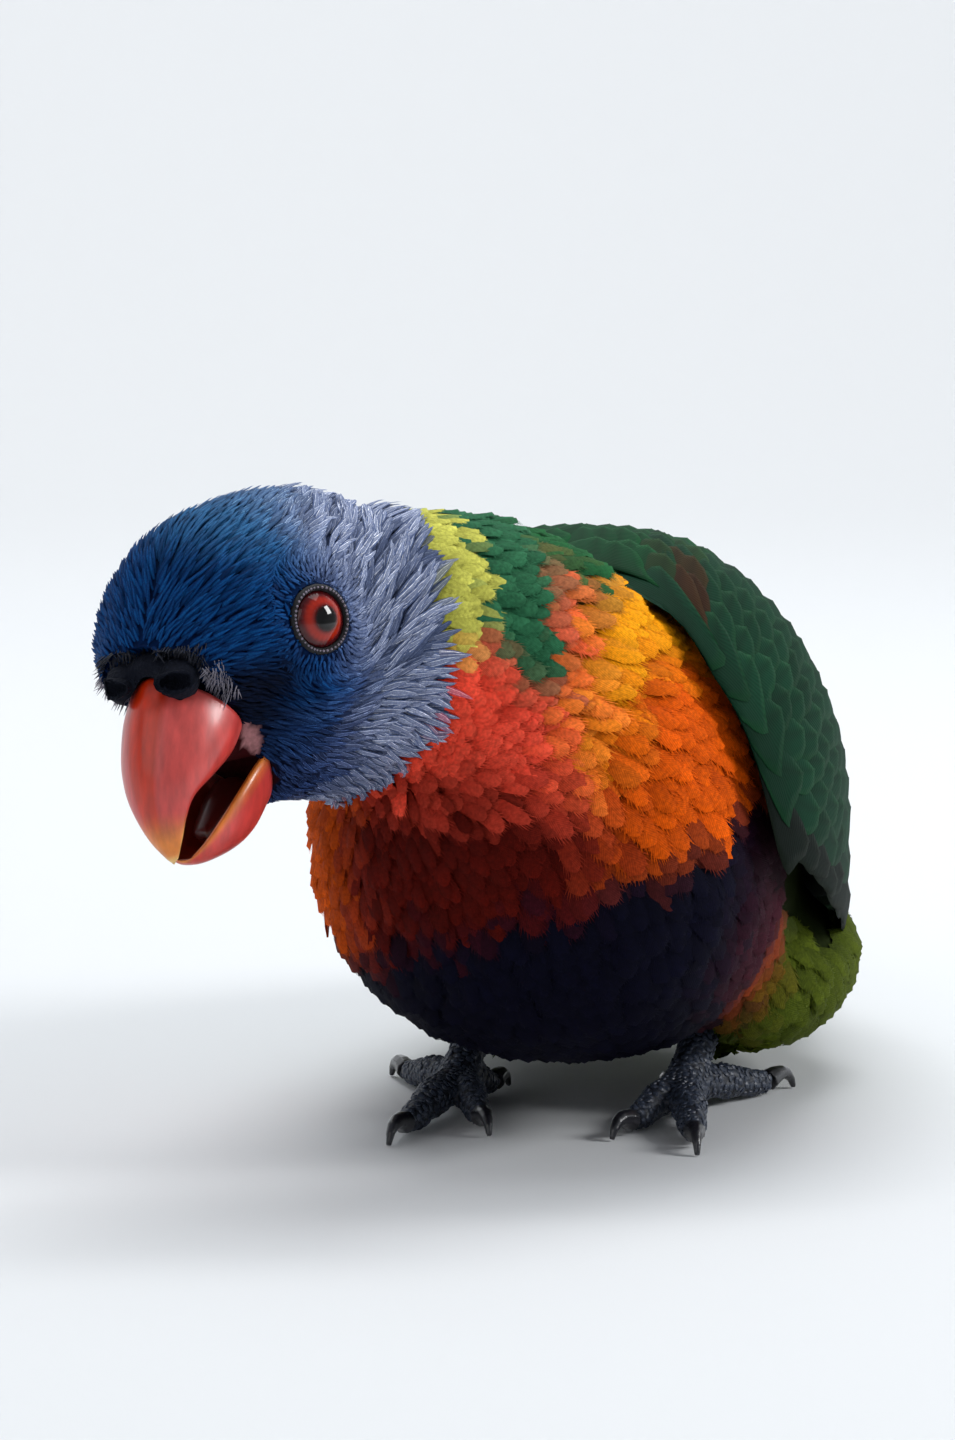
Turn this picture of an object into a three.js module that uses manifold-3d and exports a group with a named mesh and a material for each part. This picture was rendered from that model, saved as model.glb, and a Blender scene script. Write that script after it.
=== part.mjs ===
// A rainbow lorikeet, life size, as a still model: crouching on both feet with its long tail laid on the
// ground, leaning forward, with the head lowered, turned to its right, and the bill a little open.
// Millimetres. +Z is up, the bird faces -Y, and +X is its left side. The origin is the centre of the
// bounding box at ground level.
import * as THREE from "three";
import { mergeVertices } from "three/addons/utils/BufferGeometryUtils.js";
import Module from "manifold-3d";

const wasm = await Module();
wasm.setup();

const V = (x, y, z) => new THREE.Vector3(x, y, z);
const rad = THREE.MathUtils.degToRad;
const mix = THREE.MathUtils.lerp;
const smooth = (x, from, to) => THREE.MathUtils.smoothstep(x, from, to);

// Driving sizes
const GAP = 0.3; // between pieces that touch
const WING_GAP = 1.1; // between the trunk and a wing's inner face, both faceted
const HEAD_CENTRE = V(-26, -53.7, 57.3);
const HEAD_YAW = 15; // degrees to the bird's right
const HEAD_PITCH = 10; // degrees down
const HEAD_ROLL = 8; // degrees, its left side raised
const EYE = { f: 0.8, l: 11.1, u: 5.8, radius: 4.5, forward: 20, up: 4 }; // in the head's own axes
const EYE_OPENING = 3.25; // radius of the opening between the lids
const LID = { middle: 0.75, thick: 0.9, proud: 0.1 }; // soft ring round the opening
const HEAD_CUT = 0.62; // share of the way from chest to head where the head begins
const CHEST_CUT = 0.41; // and where the neck begins
const TAIL_CUT_Y = 80;
const RING = 22; // sides of a body section

// Trunk sections, from breast to tail coverts: place along the body, half width, top and bottom heights
const TRUNK = [
  { y: -45, w: 9, top: 49, bottom: 33 },
  { y: -40, w: 18.5, top: 57, bottom: 23 },
  { y: -30, w: 26, top: 64, bottom: 13 },
  { y: -15, w: 29, top: 67, bottom: 7.5 },
  { y: 4, w: 28.6, top: 68.6, bottom: 6.4 },
  { y: 24, w: 26.6, top: 65.5, bottom: 6.6 },
  { y: 44, w: 24.2, top: 55.5, bottom: 7 },
  { y: 62, w: 20.5, top: 43, bottom: 7 },
  { y: 80, w: 12.5, top: 29.5, bottom: 7 },
  { y: 98, w: 9, top: 18.5, bottom: 5.2 },
  { y: 112, w: 6, top: 12, bottom: 4 },
];
const TRUNK_NOSE_Y = -47.5;
const TRUNK_END_Y = 117;
const TRUNK_SWAY = -0.055; // how far the rump drifts to the right for each mm back

// Smooth curve through the values of a table
function along(table, key, at) {
  let i = 0;
  while (i < table.length - 2 && at > table[i + 1].y) i += 1;
  const a = table[i];
  const b = table[i + 1];
  const before = table[Math.max(i - 1, 0)];
  const after = table[Math.min(i + 2, table.length - 1)];
  const span = b.y - a.y;
  const t = THREE.MathUtils.clamp((at - a.y) / span, 0, 1);
  const slopeA = ((b[key] - before[key]) / (b.y - before.y)) * span;
  const slopeB = ((after[key] - a[key]) / (after.y - a.y)) * span;
  const t2 = t * t;
  const t3 = t2 * t;
  const fromA = a[key] * (2 * t3 - 3 * t2 + 1) + slopeA * (t3 - 2 * t2 + t);
  return fromA + b[key] * (3 * t2 - 2 * t3) + slopeB * (t3 - t2);
}

// Closed solid through rings of points, all with the same count, with its ends closed to their centres
function loft(rings, start = null, end = null) {
  const n = rings[0].length;
  const centre = (ring) => ring.reduce((sum, p) => sum.add(p), V(0, 0, 0)).divideScalar(ring.length);
  const points = [...rings.flat(), start ?? centre(rings[0]), end ?? centre(rings[rings.length - 1])];
  const first = points.length - 2;
  const last = points.length - 1;
  const faces = [];
  for (let k = 0; k < rings.length - 1; k += 1)
    for (let i = 0; i < n; i += 1) {
      const j = (i + 1) % n;
      const [a, b, c, d] = [k * n + i, k * n + j, (k + 1) * n + j, (k + 1) * n + i];
      faces.push(a, b, c, a, c, d);
    }
  const top = (rings.length - 1) * n;
  for (let i = 0; i < n; i += 1) {
    const j = (i + 1) % n;
    faces.push(first, j, i, last, top + i, top + j);
  }
  return solid(points, faces);
}

// Solid from points and triangles, turned to face out
function solid(points, faces) {
  const flip = signedVolume(points, faces) < 0;
  const triVerts = new Uint32Array(faces);
  if (flip)
    for (let i = 0; i < triVerts.length; i += 3)
      [triVerts[i + 1], triVerts[i + 2]] = [triVerts[i + 2], triVerts[i + 1]];
  const geometry = new THREE.BufferGeometry().setFromPoints(points);
  geometry.setIndex(new THREE.BufferAttribute(triVerts, 1));
  const merged = mergeVertices(geometry, 1e-4);
  return new wasm.Manifold(
    new wasm.Mesh({
      numProp: 3,
      vertProperties: merged.attributes.position.array,
      triVerts: new Uint32Array(merged.index.array),
    }),
  );
}

function signedVolume(points, faces) {
  let sum = 0;
  const cross = V(0, 0, 0);
  for (let i = 0; i < faces.length; i += 3)
    sum += cross.crossVectors(points[faces[i + 1]], points[faces[i + 2]]).dot(points[faces[i]]);
  return sum;
}

const union = (parts) => parts.reduce((whole, part) => whole.add(part));
const largest = (shape) =>
  shape.decompose().reduce((best, part) => (part.volume() > best.volume() ? part : best));

// Tube of varying radius along a path, with a section that may be flattened
function tube(path, radii, sides = 8, flatten = 1) {
  const up = V(0, 0, 1);
  const rings = path.map((p, k) => {
    const ahead = path[Math.min(k + 1, path.length - 1)];
    const behind = path[Math.max(k - 1, 0)];
    const along = ahead.clone().sub(behind).normalize();
    const side = V(0, 0, 0).crossVectors(along, up).normalize();
    const rise = V(0, 0, 0).crossVectors(side, along);
    return Array.from({ length: sides }, (_, i) => {
      const angle = ((i + 0.5) / sides) * 2 * Math.PI;
      return p
        .clone()
        .addScaledVector(side, radii[k] * Math.cos(angle))
        .addScaledVector(rise, radii[k] * flatten * Math.sin(angle));
    });
  });
  return loft(rings);
}

// Point of the trunk's surface at a place along it and an angle from its left side, up to its back
function trunkPoint(y, angle, grow = 0) {
  const w = along(TRUNK, "w", y) + grow;
  const top = along(TRUNK, "top", y) + grow;
  const bottom = along(TRUNK, "bottom", y) - grow;
  const middle = mix(bottom, top, 0.47);
  const c = Math.cos(angle);
  const s = Math.sin(angle);
  const fuller = s > 0 ? 0.94 : mix(0.94, 0.62, smooth(y, -20, 35));
  const x = Math.sign(c) * w * Math.pow(Math.abs(c), fuller);
  const height = s > 0 ? (top - middle) * Math.pow(s, 0.97) : -(middle - bottom) * Math.pow(-s, fuller);
  return V(swayAt(y) + x, y, middle + height);
}
const swayAt = (y) => TRUNK_SWAY * Math.max(0, y - 10) * smooth(y, 0, 60);

function trunkSolid(grow = 0) {
  const stations = [-46.6, -45, -41.5, -36.5, -30, -21, -10, 2, 15, 29, 43, 57, 71, 85, 98, 110, 115];
  const rings = stations.map((y) => {
    const nearNose = y < -45;
    const nearEnd = y > 112;
    const shrink = nearNose ? 0.62 : nearEnd ? 0.62 : 1;
    const at = THREE.MathUtils.clamp(y, -45, 112);
    const ring = Array.from({ length: RING }, (_, i) => trunkPoint(at, (i / RING) * 2 * Math.PI, grow));
    const middle = ring.reduce((sum, p) => sum.add(p), V(0, 0, 0)).divideScalar(RING);
    return ring.map((p) => {
      const q = p.clone().sub(middle).multiplyScalar(shrink).add(middle);
      q.y = y + (nearNose ? -grow : nearEnd ? grow : 0);
      return q;
    });
  });
  const nose = V(0, TRUNK_NOSE_Y - grow, 41);
  const end = V(swayAt(TRUNK_END_Y), TRUNK_END_Y + grow, 8);
  return loft(rings, nose, end);
}

// The head's own axes: f forward to the bill, l to its left, u up
const headF = V(
  -Math.sin(rad(HEAD_YAW)) * Math.cos(rad(HEAD_PITCH)),
  -Math.cos(rad(HEAD_YAW)) * Math.cos(rad(HEAD_PITCH)),
  -Math.sin(rad(HEAD_PITCH)),
);
const headL = V(Math.cos(rad(HEAD_YAW)), -Math.sin(rad(HEAD_YAW)), 0).applyAxisAngle(headF, rad(HEAD_ROLL));
const headU = V(0, 0, 0).crossVectors(headF, headL);
const onHead = (f, l, u) =>
  HEAD_CENTRE.clone().addScaledVector(headF, f).addScaledVector(headL, l).addScaledVector(headU, u);

// Head sections, from nape to cere: place forward, half width, top and bottom
const HEAD = [
  { y: -25, w: 11.5, top: 15, bottom: -12.5 },
  { y: -19, w: 14, top: 18, bottom: -15 },
  { y: -12, w: 15.3, top: 19.6, bottom: -15.8 },
  { y: -5, w: 15.5, top: 20, bottom: -15.6 },
  { y: 3, w: 14.4, top: 19.6, bottom: -14.2 },
  { y: 9, w: 12.2, top: 16.9, bottom: -11.6 },
  { y: 13.5, w: 9.1, top: 12.2, bottom: -8.6 },
  { y: 16.5, w: 6, top: 7.6, bottom: -3 },
];
const HEAD_STATIONS = [-27, -25, -19, -14, -9, -4, 0, 3.5, 6.5, 9, 11.5, 13.8, 15.4, 16.5];
const FACE_WIDTH = 0.5; // share of the full width that is left beside the bill

// How much the lower face is drawn in towards the bill, further back at the chin than below the eye
function drawnIn(f, u) {
  const at = f + 0.5 * Math.max(0, -4 - u);
  return mix(1, FACE_WIDTH, smooth(at, 2.6, 9) * (1 - smooth(u, -2.5, 4)));
}

function headShape() {
  const rings = HEAD_STATIONS.map((f) => {
    const at = THREE.MathUtils.clamp(f, HEAD[0].y, HEAD[HEAD.length - 1].y);
    const shrink = f < at ? 0.6 : 1;
    const w = along(HEAD, "w", at) * shrink;
    const top = along(HEAD, "top", at);
    const bottom = along(HEAD, "bottom", at);
    const middle = (top + bottom) / 2;
    const half = ((top - bottom) / 2) * shrink;
    return Array.from({ length: RING }, (_, i) => {
      const angle = (i / RING) * 2 * Math.PI;
      const u = middle + half * Math.sin(angle);
      return onHead(f, w * Math.cos(angle) * drawnIn(f, u), u);
    });
  });
  return loft(rings, onHead(-28, 0, 1), onHead(17.2, 0, 2.2));
}

// Neck: from inside the chest to inside the head
const CHEST = V(-2, -17, 46);
function neckShape(grow = 0) {
  const steps = 9;
  const rings = [];
  const rise = V(0, 0, 1);
  for (let k = 0; k <= steps; k += 1) {
    const t = k / steps;
    const p = neckPath(t);
    const along3 = neckPath(t + 0.01).sub(neckPath(t - 0.01)).normalize();
    const side = V(0, 0, 0).crossVectors(rise, along3).normalize();
    const up = V(0, 0, 0).crossVectors(along3, side);
    const w = mix(26, 14.6, smooth(t, 0, 0.95)) + grow;
    const high = mix(23.5, 16.4, smooth(t, 0, 1)) + grow;
    const low = mix(24, 16, smooth(t, 0, 0.9)) + grow;
    rings.push(
      Array.from({ length: RING }, (_, i) => {
        const angle = (i / RING) * 2 * Math.PI;
        const s = Math.sin(angle);
        return p
          .clone()
          .addScaledVector(side, w * Math.cos(angle))
          .addScaledVector(up, s * (s > 0 ? high : low));
      }),
    );
  }
  return loft(rings);
}
function neckPath(t) {
  const bow = V(2, 4, 4.5).multiplyScalar(Math.sin(Math.PI * t));
  return CHEST.clone().lerp(onHead(-6, 0, 0), t).add(bow);
}
const neckAxis = onHead(-6, 0, 0).sub(CHEST).normalize();

// Keeps what lies on the far side of a plane through a point
const beyond = (shape, normal, point) => shape.trimByPlane(normal.toArray(), normal.dot(point));
const before = (shape, normal, point) => {
  const back = normal.clone().negate();
  return shape.trimByPlane(back.toArray(), back.dot(point));
};

// Upper bill: pairs of points on its ridge and its cutting edge, with the half width there
const UPPER = [
  { ridge: [15.2, 4.2], edge: [7.4, -4.6], w: 6.3 },
  { ridge: [18, 1.4], edge: [9.6, -6.2], w: 6.2 },
  { ridge: [20.2, -2.8], edge: [13, -7.6], w: 5.5 },
  { ridge: [21.2, -6.6], edge: [16.4, -9], w: 4.2 },
  { ridge: [21.2, -10], edge: [17.6, -10.8], w: 3.1 },
  { ridge: [20.4, -13], edge: [18.1, -13], w: 2 },
];
const UPPER_TIP = [18.6, -15.9];
const UPPER_SLOPE = 1.3; // 1 for a round back, more for flatter sides
function upperBill(grow = 0) {
  const sides = 12;
  const rings = UPPER.map(({ ridge, edge, w }, k) => {
    const out = V(ridge[0] - edge[0], ridge[1] - edge[1], 0).normalize();
    const depth = Math.hypot(ridge[0] - edge[0], ridge[1] - edge[1]) + 2 * grow;
    const back = k === 0 ? grow : 0;
    const base = [edge[0] - out.x * grow - back * 0.7, edge[1] - out.y * grow + back * 0.7];
    return Array.from({ length: sides }, (_, i) => {
      const angle = (i / sides) * 2 * Math.PI;
      const up = Math.sin(angle);
      const reach = up > 0 ? 0.34 + 0.66 * up : 0.34 + 0.34 * Math.max(up * 1.5, -0.72);
      const side = (w + grow) * Math.sign(Math.cos(angle)) * Math.pow(Math.abs(Math.cos(angle)), UPPER_SLOPE);
      return onHead(base[0] + out.x * depth * reach, side, base[1] + out.y * depth * reach);
    });
  });
  return loft(rings, null, onHead(UPPER_TIP[0], 0, UPPER_TIP[1] - grow));
}

// Lower bill: an open scoop, with pairs of points on its keel and its cutting edge
const LOWER = [
  { keel: [2.8, -14.2], edge: [4.6, -7.6], w: 5.4 },
  { keel: [6.3, -16.2], edge: [7.9, -8.7], w: 5.6 },
  { keel: [9.6, -17], edge: [11.2, -10.6], w: 5.2 },
  { keel: [13, -17.1], edge: [14.1, -12.8], w: 4.2 },
  { keel: [15.4, -16.9], edge: [15.9, -14.6], w: 2.9 },
];
const LOWER_TIP = [16.9, -16.1];
function scoop(grow, inner) {
  const sides = 12;
  const rings = LOWER.map(({ keel: keelAt, edge: edgeAt, w }, k) => {
    const wall = inner ? 1 : 0;
    const ahead = inner && k === 0 ? 1.1 : 0;
    const keel = [keelAt[0] + ahead, keelAt[1]];
    const edge = [edgeAt[0] + ahead, edgeAt[1]];
    const out = V(edge[0] - keel[0], edge[1] - keel[1], 0).normalize();
    const depth = Math.hypot(edge[0] - keel[0], edge[1] - keel[1]) - wall + grow * 2 + (inner ? 3 : 0);
    const back = k === 0 ? grow : 0;
    const base = [keel[0] + out.x * (wall - grow) - back, keel[1] + out.y * (wall - grow)];
    return Array.from({ length: sides }, (_, i) => {
      const angle = (i / sides) * 2 * Math.PI;
      const s = Math.sin(angle);
      const reach = s < 0 ? 0.62 + 0.62 * s : 0.62 + 0.38 * Math.min(1, s * 1.6);
      const side = (w + grow - wall) * Math.sign(Math.cos(angle)) * Math.pow(Math.abs(Math.cos(angle)), 0.75);
      return onHead(base[0] + out.x * depth * reach, side, base[1] + out.y * depth * reach);
    });
  });
  const [tipF, tipU] = inner ? [LOWER_TIP[0] - 1.2, LOWER_TIP[1] + 1.4] : [LOWER_TIP[0] + grow, LOWER_TIP[1]];
  const tip = onHead(tipF, 0, tipU);
  return loft(rings, null, tip);
}

// Ellipsoid in the head's axes
function headBall(f, l, u, rf, rl, ru, sides = 14, rows = 8) {
  const rings = [];
  for (let k = 1; k < rows; k += 1) {
    const polar = (k / rows) * Math.PI;
    rings.push(
      Array.from({ length: sides }, (_, i) => {
        const angle = (i / sides) * 2 * Math.PI;
        return onHead(
          f + rf * Math.sin(polar) * Math.cos(angle),
          l + rl * Math.cos(polar),
          u + ru * Math.sin(polar) * Math.sin(angle),
        );
      }),
    );
  }
  return loft(rings, onHead(f, l + rl, u), onHead(f, l - rl, u));
}

// Ring of round section about an axis, open in the middle
function ringAbout(centre, axis, radius, thick, sides = 16, section = 6) {
  const side = V(0, 0, 0).crossVectors(axis, V(0, 0, 1)).normalize();
  const rise = V(0, 0, 0).crossVectors(side, axis).normalize();
  const points = [];
  const faces = [];
  for (let k = 0; k < sides; k += 1) {
    const turn = (k / sides) * 2 * Math.PI;
    const out = side.clone().multiplyScalar(Math.cos(turn)).addScaledVector(rise, Math.sin(turn));
    for (let i = 0; i < section; i += 1) {
      const angle = (i / section) * 2 * Math.PI;
      points.push(
        centre
          .clone()
          .addScaledVector(out, radius + thick * Math.cos(angle))
          .addScaledVector(axis, thick * 0.8 * Math.sin(angle)),
      );
      const kn = (k + 1) % sides;
      const j = (i + 1) % section;
      const [a, b, c, d] = [k * section + i, k * section + j, kn * section + j, kn * section + i];
      faces.push(a, b, c, a, c, d);
    }
  }
  return solid(points, faces);
}

function eyeAxis(side) {
  const forward = Math.sin(rad(EYE.forward));
  const up = Math.sin(rad(EYE.up));
  const out = Math.sqrt(1 - forward * forward - up * up) * side;
  return V(0, 0, 0).addScaledVector(headF, forward).addScaledVector(headL, out).addScaledVector(headU, up);
}
const eyeBall = (side, grow = 0) =>
  headBall(EYE.f, EYE.l * side, EYE.u, EYE.radius + grow, EYE.radius + grow, EYE.radius + grow, 14, 8);
function eyelids(side) {
  const axis = eyeAxis(side);
  const outward = Math.sqrt(EYE.radius ** 2 - EYE_OPENING ** 2) + LID.proud;
  const centre = onHead(EYE.f, EYE.l * side, EYE.u).addScaledVector(axis, outward);
  return ringAbout(centre, axis, EYE_OPENING + LID.middle, LID.thick);
}

// Feather vane on a surface: at(t, across, height) gives a point of it, and its thickness tapers to the tip
function vane(at, { width, thick, rows, columns, tilt, lift = () => 0 }) {
  const outlineAt = (t) => Math.sqrt(Math.max(0.03, 1 - Math.pow(Math.max(0, (t - 0.45) / 0.57), 2.4)));
  const grid = [[], []];
  for (let layer = 0; layer < 2; layer += 1)
    for (let i = 0; i <= rows; i += 1)
      for (let j = 0; j <= columns; j += 1) {
        const t = i / rows;
        const across = (j / columns - 0.5) * 2;
        const half = (width / 2) * outlineAt(t) * mix(0.72, 1, smooth(t, 0, 0.3));
        const depth = thick * mix(1, 0.75, t) * mix(1, 0.55, across * across);
        const height = lift(t) + (tilt * across) / 2;
        grid[layer].push(at(t, across * half, height + (layer ? depth / 2 : -depth / 2)));
      }
  const count = (rows + 1) * (columns + 1);
  const points = [...grid[0], ...grid[1]];
  const faces = [];
  const quad = (a, b, c, d) => faces.push(a, b, c, a, c, d);
  const id = (i, j, layer) => layer * count + i * (columns + 1) + j;
  for (let i = 0; i < rows; i += 1)
    for (let j = 0; j < columns; j += 1) {
      quad(id(i, j, 1), id(i, j + 1, 1), id(i + 1, j + 1, 1), id(i + 1, j, 1));
      quad(id(i, j, 0), id(i + 1, j, 0), id(i + 1, j + 1, 0), id(i, j + 1, 0));
    }
  for (let i = 0; i < rows; i += 1) {
    quad(id(i, 0, 0), id(i, 0, 1), id(i + 1, 0, 1), id(i + 1, 0, 0));
    quad(id(i, columns, 1), id(i, columns, 0), id(i + 1, columns, 0), id(i + 1, columns, 1));
  }
  for (let j = 0; j < columns; j += 1) {
    quad(id(0, j, 1), id(0, j, 0), id(0, j + 1, 0), id(0, j + 1, 1));
    quad(id(rows, j, 0), id(rows, j, 1), id(rows, j + 1, 1), id(rows, j + 1, 0));
  }
  return solid(points, faces);
}

// Folded wing. Its surface wraps the trunk: p runs from the bend of the wing to its tip, q from the leading
// edge, which lies lowest, up to the edge along the back
const WING = { frontY: -28, length: 150 };
const WING_OVER_TAIL_Y = 100; // from here back the wing lies beside the tail
const WING_EDGE = [
  { y: -28, low: 22, high: 40 },
  { y: -24, low: 8, high: 54 },
  { y: -15, low: -3, high: 70 },
  { y: 0, low: -12, high: 80 },
  { y: 20, low: -16, high: 83 },
  { y: 45, low: -16, high: 83 },
  { y: 70, low: -12, high: 80 },
  { y: 98, low: -2, high: 66 },
  { y: 122, low: 6, high: 34 },
];
// The wing's tip lies beside the tail, past the end of the trunk
function wingPoint(side, p, q, height) {
  const y = WING.frontY + p * WING.length;
  const angle = rad(mix(along(WING_EDGE, "low", y), along(WING_EDGE, "high", y), q));
  const at = Math.min(y, WING_OVER_TAIL_Y);
  const inner = trunkPoint(at, angle, WING_GAP + height);
  if (angle < 0) inner.x = trunkPoint(at, 0, WING_GAP + height).x;
  const x = (inner.x - swayAt(at)) * mix(1, 0.8, smooth(y, 100, 145)) * side;
  const z = inner.z - Math.max(0, y - WING_OVER_TAIL_Y) * 0.12;
  const overTail = y > TAIL_TOP_Y ? tailTop(x, y) + 1.1 + height : 0;
  return V(x + swayAt(y), y, Math.max(z, overTail, 1.2 + height * 0.5));
}

// Distance over the wing from its leading edge to its edge along the back
function wingGirth(p) {
  const y = WING.frontY + p * WING.length;
  const at = Math.min(y, WING_OVER_TAIL_Y);
  const arc = rad(along(WING_EDGE, "high", y) - along(WING_EDGE, "low", y));
  const around = along(TRUNK, "w", at) + (along(TRUNK, "top", at) - along(TRUNK, "bottom", at)) / 2;
  return Math.max(6, arc * 0.5 * around);
}

const TAIL_TOP_Y = 84;
function tailTop(offset, y) {
  const t = (y - TAIL.rootY) / TAIL.length;
  const layers = 0.34 * (TAIL.pairs - 1) * (1 - 0.55 * t) + 0.75;
  return tailMiddle(t).z + layers - 0.018 * offset * offset * (1 - t);
}

function wing(side) {
  const core = [];
  const rows = 9;
  const columns = 5;
  const shape = [];
  for (let i = 0; i <= rows; i += 1) {
    const t = i / rows;
    const p = mix(0, 0.7, t);
    const ring = [];
    const depth = 1.5 * Math.sqrt(Math.max(0.1, 1 - Math.pow(2 * t - 1, 4)));
    const narrow = Math.sqrt(Math.max(0.12, 1 - Math.pow(Math.max(0, 1 - t / 0.14), 2)));
    for (let j = 0; j <= columns; j += 1) {
      const q = mix(0.5 - 0.46 * narrow, 0.5 + 0.48 * narrow, j / columns);
      ring.push(wingPoint(side, p, q, 0));
    }
    for (let j = columns; j >= 0; j -= 1) {
      const q = mix(0.5 - 0.46 * narrow, 0.5 + 0.48 * narrow, j / columns);
      const edge = Math.sqrt(Math.max(0.16, 1 - Math.pow((2 * j) / columns - 1, 4)));
      ring.push(wingPoint(side, p, q, depth * edge));
    }
    shape.push(ring);
  }
  core.push(loft(shape));
  // Tiers, from the longest feathers up to the small coverts at the bend
  const feather = (p0, q0, p1, q1, width, base, tipLift) => {
    const at = (t, across, height) => {
      const p = mix(p0, p1, t);
      return wingPoint(side, p, mix(q0, q1, t) + across / wingGirth(p), Math.max(0.35, height));
    };
    const lift = (t) => mix(base, tipLift, t);
    return vane(at, { width, thick: 0.7, rows: 3, columns: 1, tilt: -0.8, lift });
  };
  const primaries = 5;
  for (let k = 0; k < primaries; k += 1)
    core.push(feather(0.42, 0.1 + 0.09 * k, 1 - 0.075 * k, 0.12 + 0.12 * k, 12, 0.7, 0.6 + 0.2 * k));
  const secondaries = 3;
  for (let k = 0; k < secondaries; k += 1)
    core.push(feather(0.38, 0.54 + 0.15 * k, 0.76 - 0.04 * k, 0.6 + 0.14 * k, 16, 0.8, 1.5 + 0.15 * k));
  const greater = 4;
  for (let k = 0; k < greater; k += 1) {
    const q = 0.1 + (0.82 * k) / (greater - 1);
    core.push(feather(0.25, q, 0.5 + 0.02 * Math.sin(k * 1.3), q, 19, 0.8, 1.95 + 0.1 * (k % 2)));
  }
  const median = 3;
  for (let k = 0; k < median; k += 1) {
    const q = 0.12 + (0.78 * k) / (median - 1);
    core.push(feather(0.1, q, 0.32 + 0.015 * Math.cos(k * 1.7), q, 21, 0.7, 2.25 + 0.1 * (k % 2)));
  }
  return largest(union(core));
}

// Tail: twelve long graduated feathers from a root inside the tail coverts
const TAIL = { rootY: 86, length: 122, pairs: 6 };
function tailMiddle(t) {
  const y = TAIL.rootY + t * TAIL.length;
  const z = 1.6 + 11.5 * Math.pow(1 - smooth(t, -0.25, 0.85), 1.35);
  return V(swayAt(TAIL.rootY) - t * t * 14 - t * 4, y, z);
}
function tail() {
  const parts = [];
  for (let k = 0; k < TAIL.pairs; k += 1)
    for (const side of [1, -1]) {
      const reach = 1 - 0.085 * k;
      const spread = rad(0.8 + 1.15 * k) * side;
      const layer = 0.62 * (TAIL.pairs - 1 - k) + (side > 0 ? 0.28 : 0);
      const at = (t, across, height) => {
        const s = t * reach;
        const middle = tailMiddle(s);
        const offset = (0.9 + 0.75 * k) * side + Math.sin(spread) * s * TAIL.length + across;
        const arch = -0.018 * offset * offset;
        const z = middle.z + height + layer * 0.55 * (1 - 0.55 * t) + arch * (1 - t);
        return V(middle.x + offset, middle.y, Math.max(0.02, z));
      };
      parts.push(vane(at, { width: 10.5 - 0.35 * k, thick: 0.75, rows: 4, columns: 1, tilt: 0.9 * side }));
    }
  return parts;
}

// Legs: feathered thigh, bare shank, two toes forward and two back, each with its claw
const FEET = [
  { name: "left", side: 1, x: 13.5, y: 0, turn: 2 },
  { name: "right", side: -1, x: -14, y: -3, turn: -10 },
];
const TOES = [
  { name: "outer_front", length: 19, angle: 14, radius: 2.35, claw: 7.5 },
  { name: "inner_front", length: 13.5, angle: -16, radius: 2.2, claw: 6.5 },
  { name: "outer_back", length: 16.5, angle: 152, radius: 2.25, claw: 7 },
  { name: "inner_back", length: 9.5, angle: -160, radius: 2.1, claw: 6 },
];
const TOE_ROOT_Z = 3;

const groundPlane = V(0, 0, 1);
const aboveGround = (shape) => shape.trimByPlane(groundPlane.toArray(), 0);

function toePath({ side, x, y, turn }, toe) {
  const heading = rad(toe.angle * side + turn * side);
  const dir = V(Math.sin(heading), -Math.cos(heading), 0);
  const root = V(x, y, TOE_ROOT_Z);
  const steps = 6;
  return Array.from({ length: steps + 1 }, (_, i) => {
    const t = i / steps;
    const arch = 1.2 * Math.sin(Math.PI * Math.min(1, t * 1.15));
    return root
      .clone()
      .addScaledVector(dir, toe.length * t)
      .setZ(mix(TOE_ROOT_Z, toe.radius * 0.78, smooth(t, 0, 0.55)) + arch);
  });
}
function toeSolid(foot, toe) {
  const path = toePath(foot, toe);
  const radii = path.map((_, i) => {
    const t = i / (path.length - 1);
    const pads = 1 + 0.1 * Math.cos(t * 4 * Math.PI);
    return toe.radius * mix(1.08, 0.72, t) * pads * (i === path.length - 1 ? 0.72 : 1);
  });
  return tube(path, radii, 8);
}
function clawSolid(foot, toe) {
  const path = toePath(foot, toe);
  const end = path[path.length - 1];
  const dir = end.clone().sub(path[path.length - 2]).setZ(0).normalize();
  const base = end.clone().addScaledVector(dir, GAP * 2);
  const steps = 5;
  const points = Array.from({ length: steps + 1 }, (_, i) => {
    const t = i / steps;
    const bend = rad(14 + 62 * t);
    return base
      .clone()
      .addScaledVector(dir, toe.claw * 0.8 * Math.sin(t * 1.25))
      .setZ(base.z + toe.claw * 0.42 * (Math.sin(t * 2.1) * 0.45 - Math.pow(t, 1.7) * Math.sin(bend) * 0.95));
  });
  const radii = points.map((_, i) => mix(1.45, 0.35, Math.pow(i / steps, 0.9)));
  return tube(points, radii, 8);
}
function shankPath({ side, x, y }) {
  return [
    V(x, y - 0.5, TOE_ROOT_Z + 0.4),
    V(x + 0.2 * side, y + 3.5, 5.6),
    V(x + 0.2 * side, y + 8, 8.2),
    V(x, y + 12, 10.6),
    V(x - 0.2 * side, y + 14, 12),
  ];
}
const SHANK_RADII = [2.7, 2.25, 2.3, 2.6, 2.8];
const shankSolid = (foot, grow = 0) =>
  tube(shankPath(foot), SHANK_RADII.map((r) => r + grow), 10);
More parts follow.
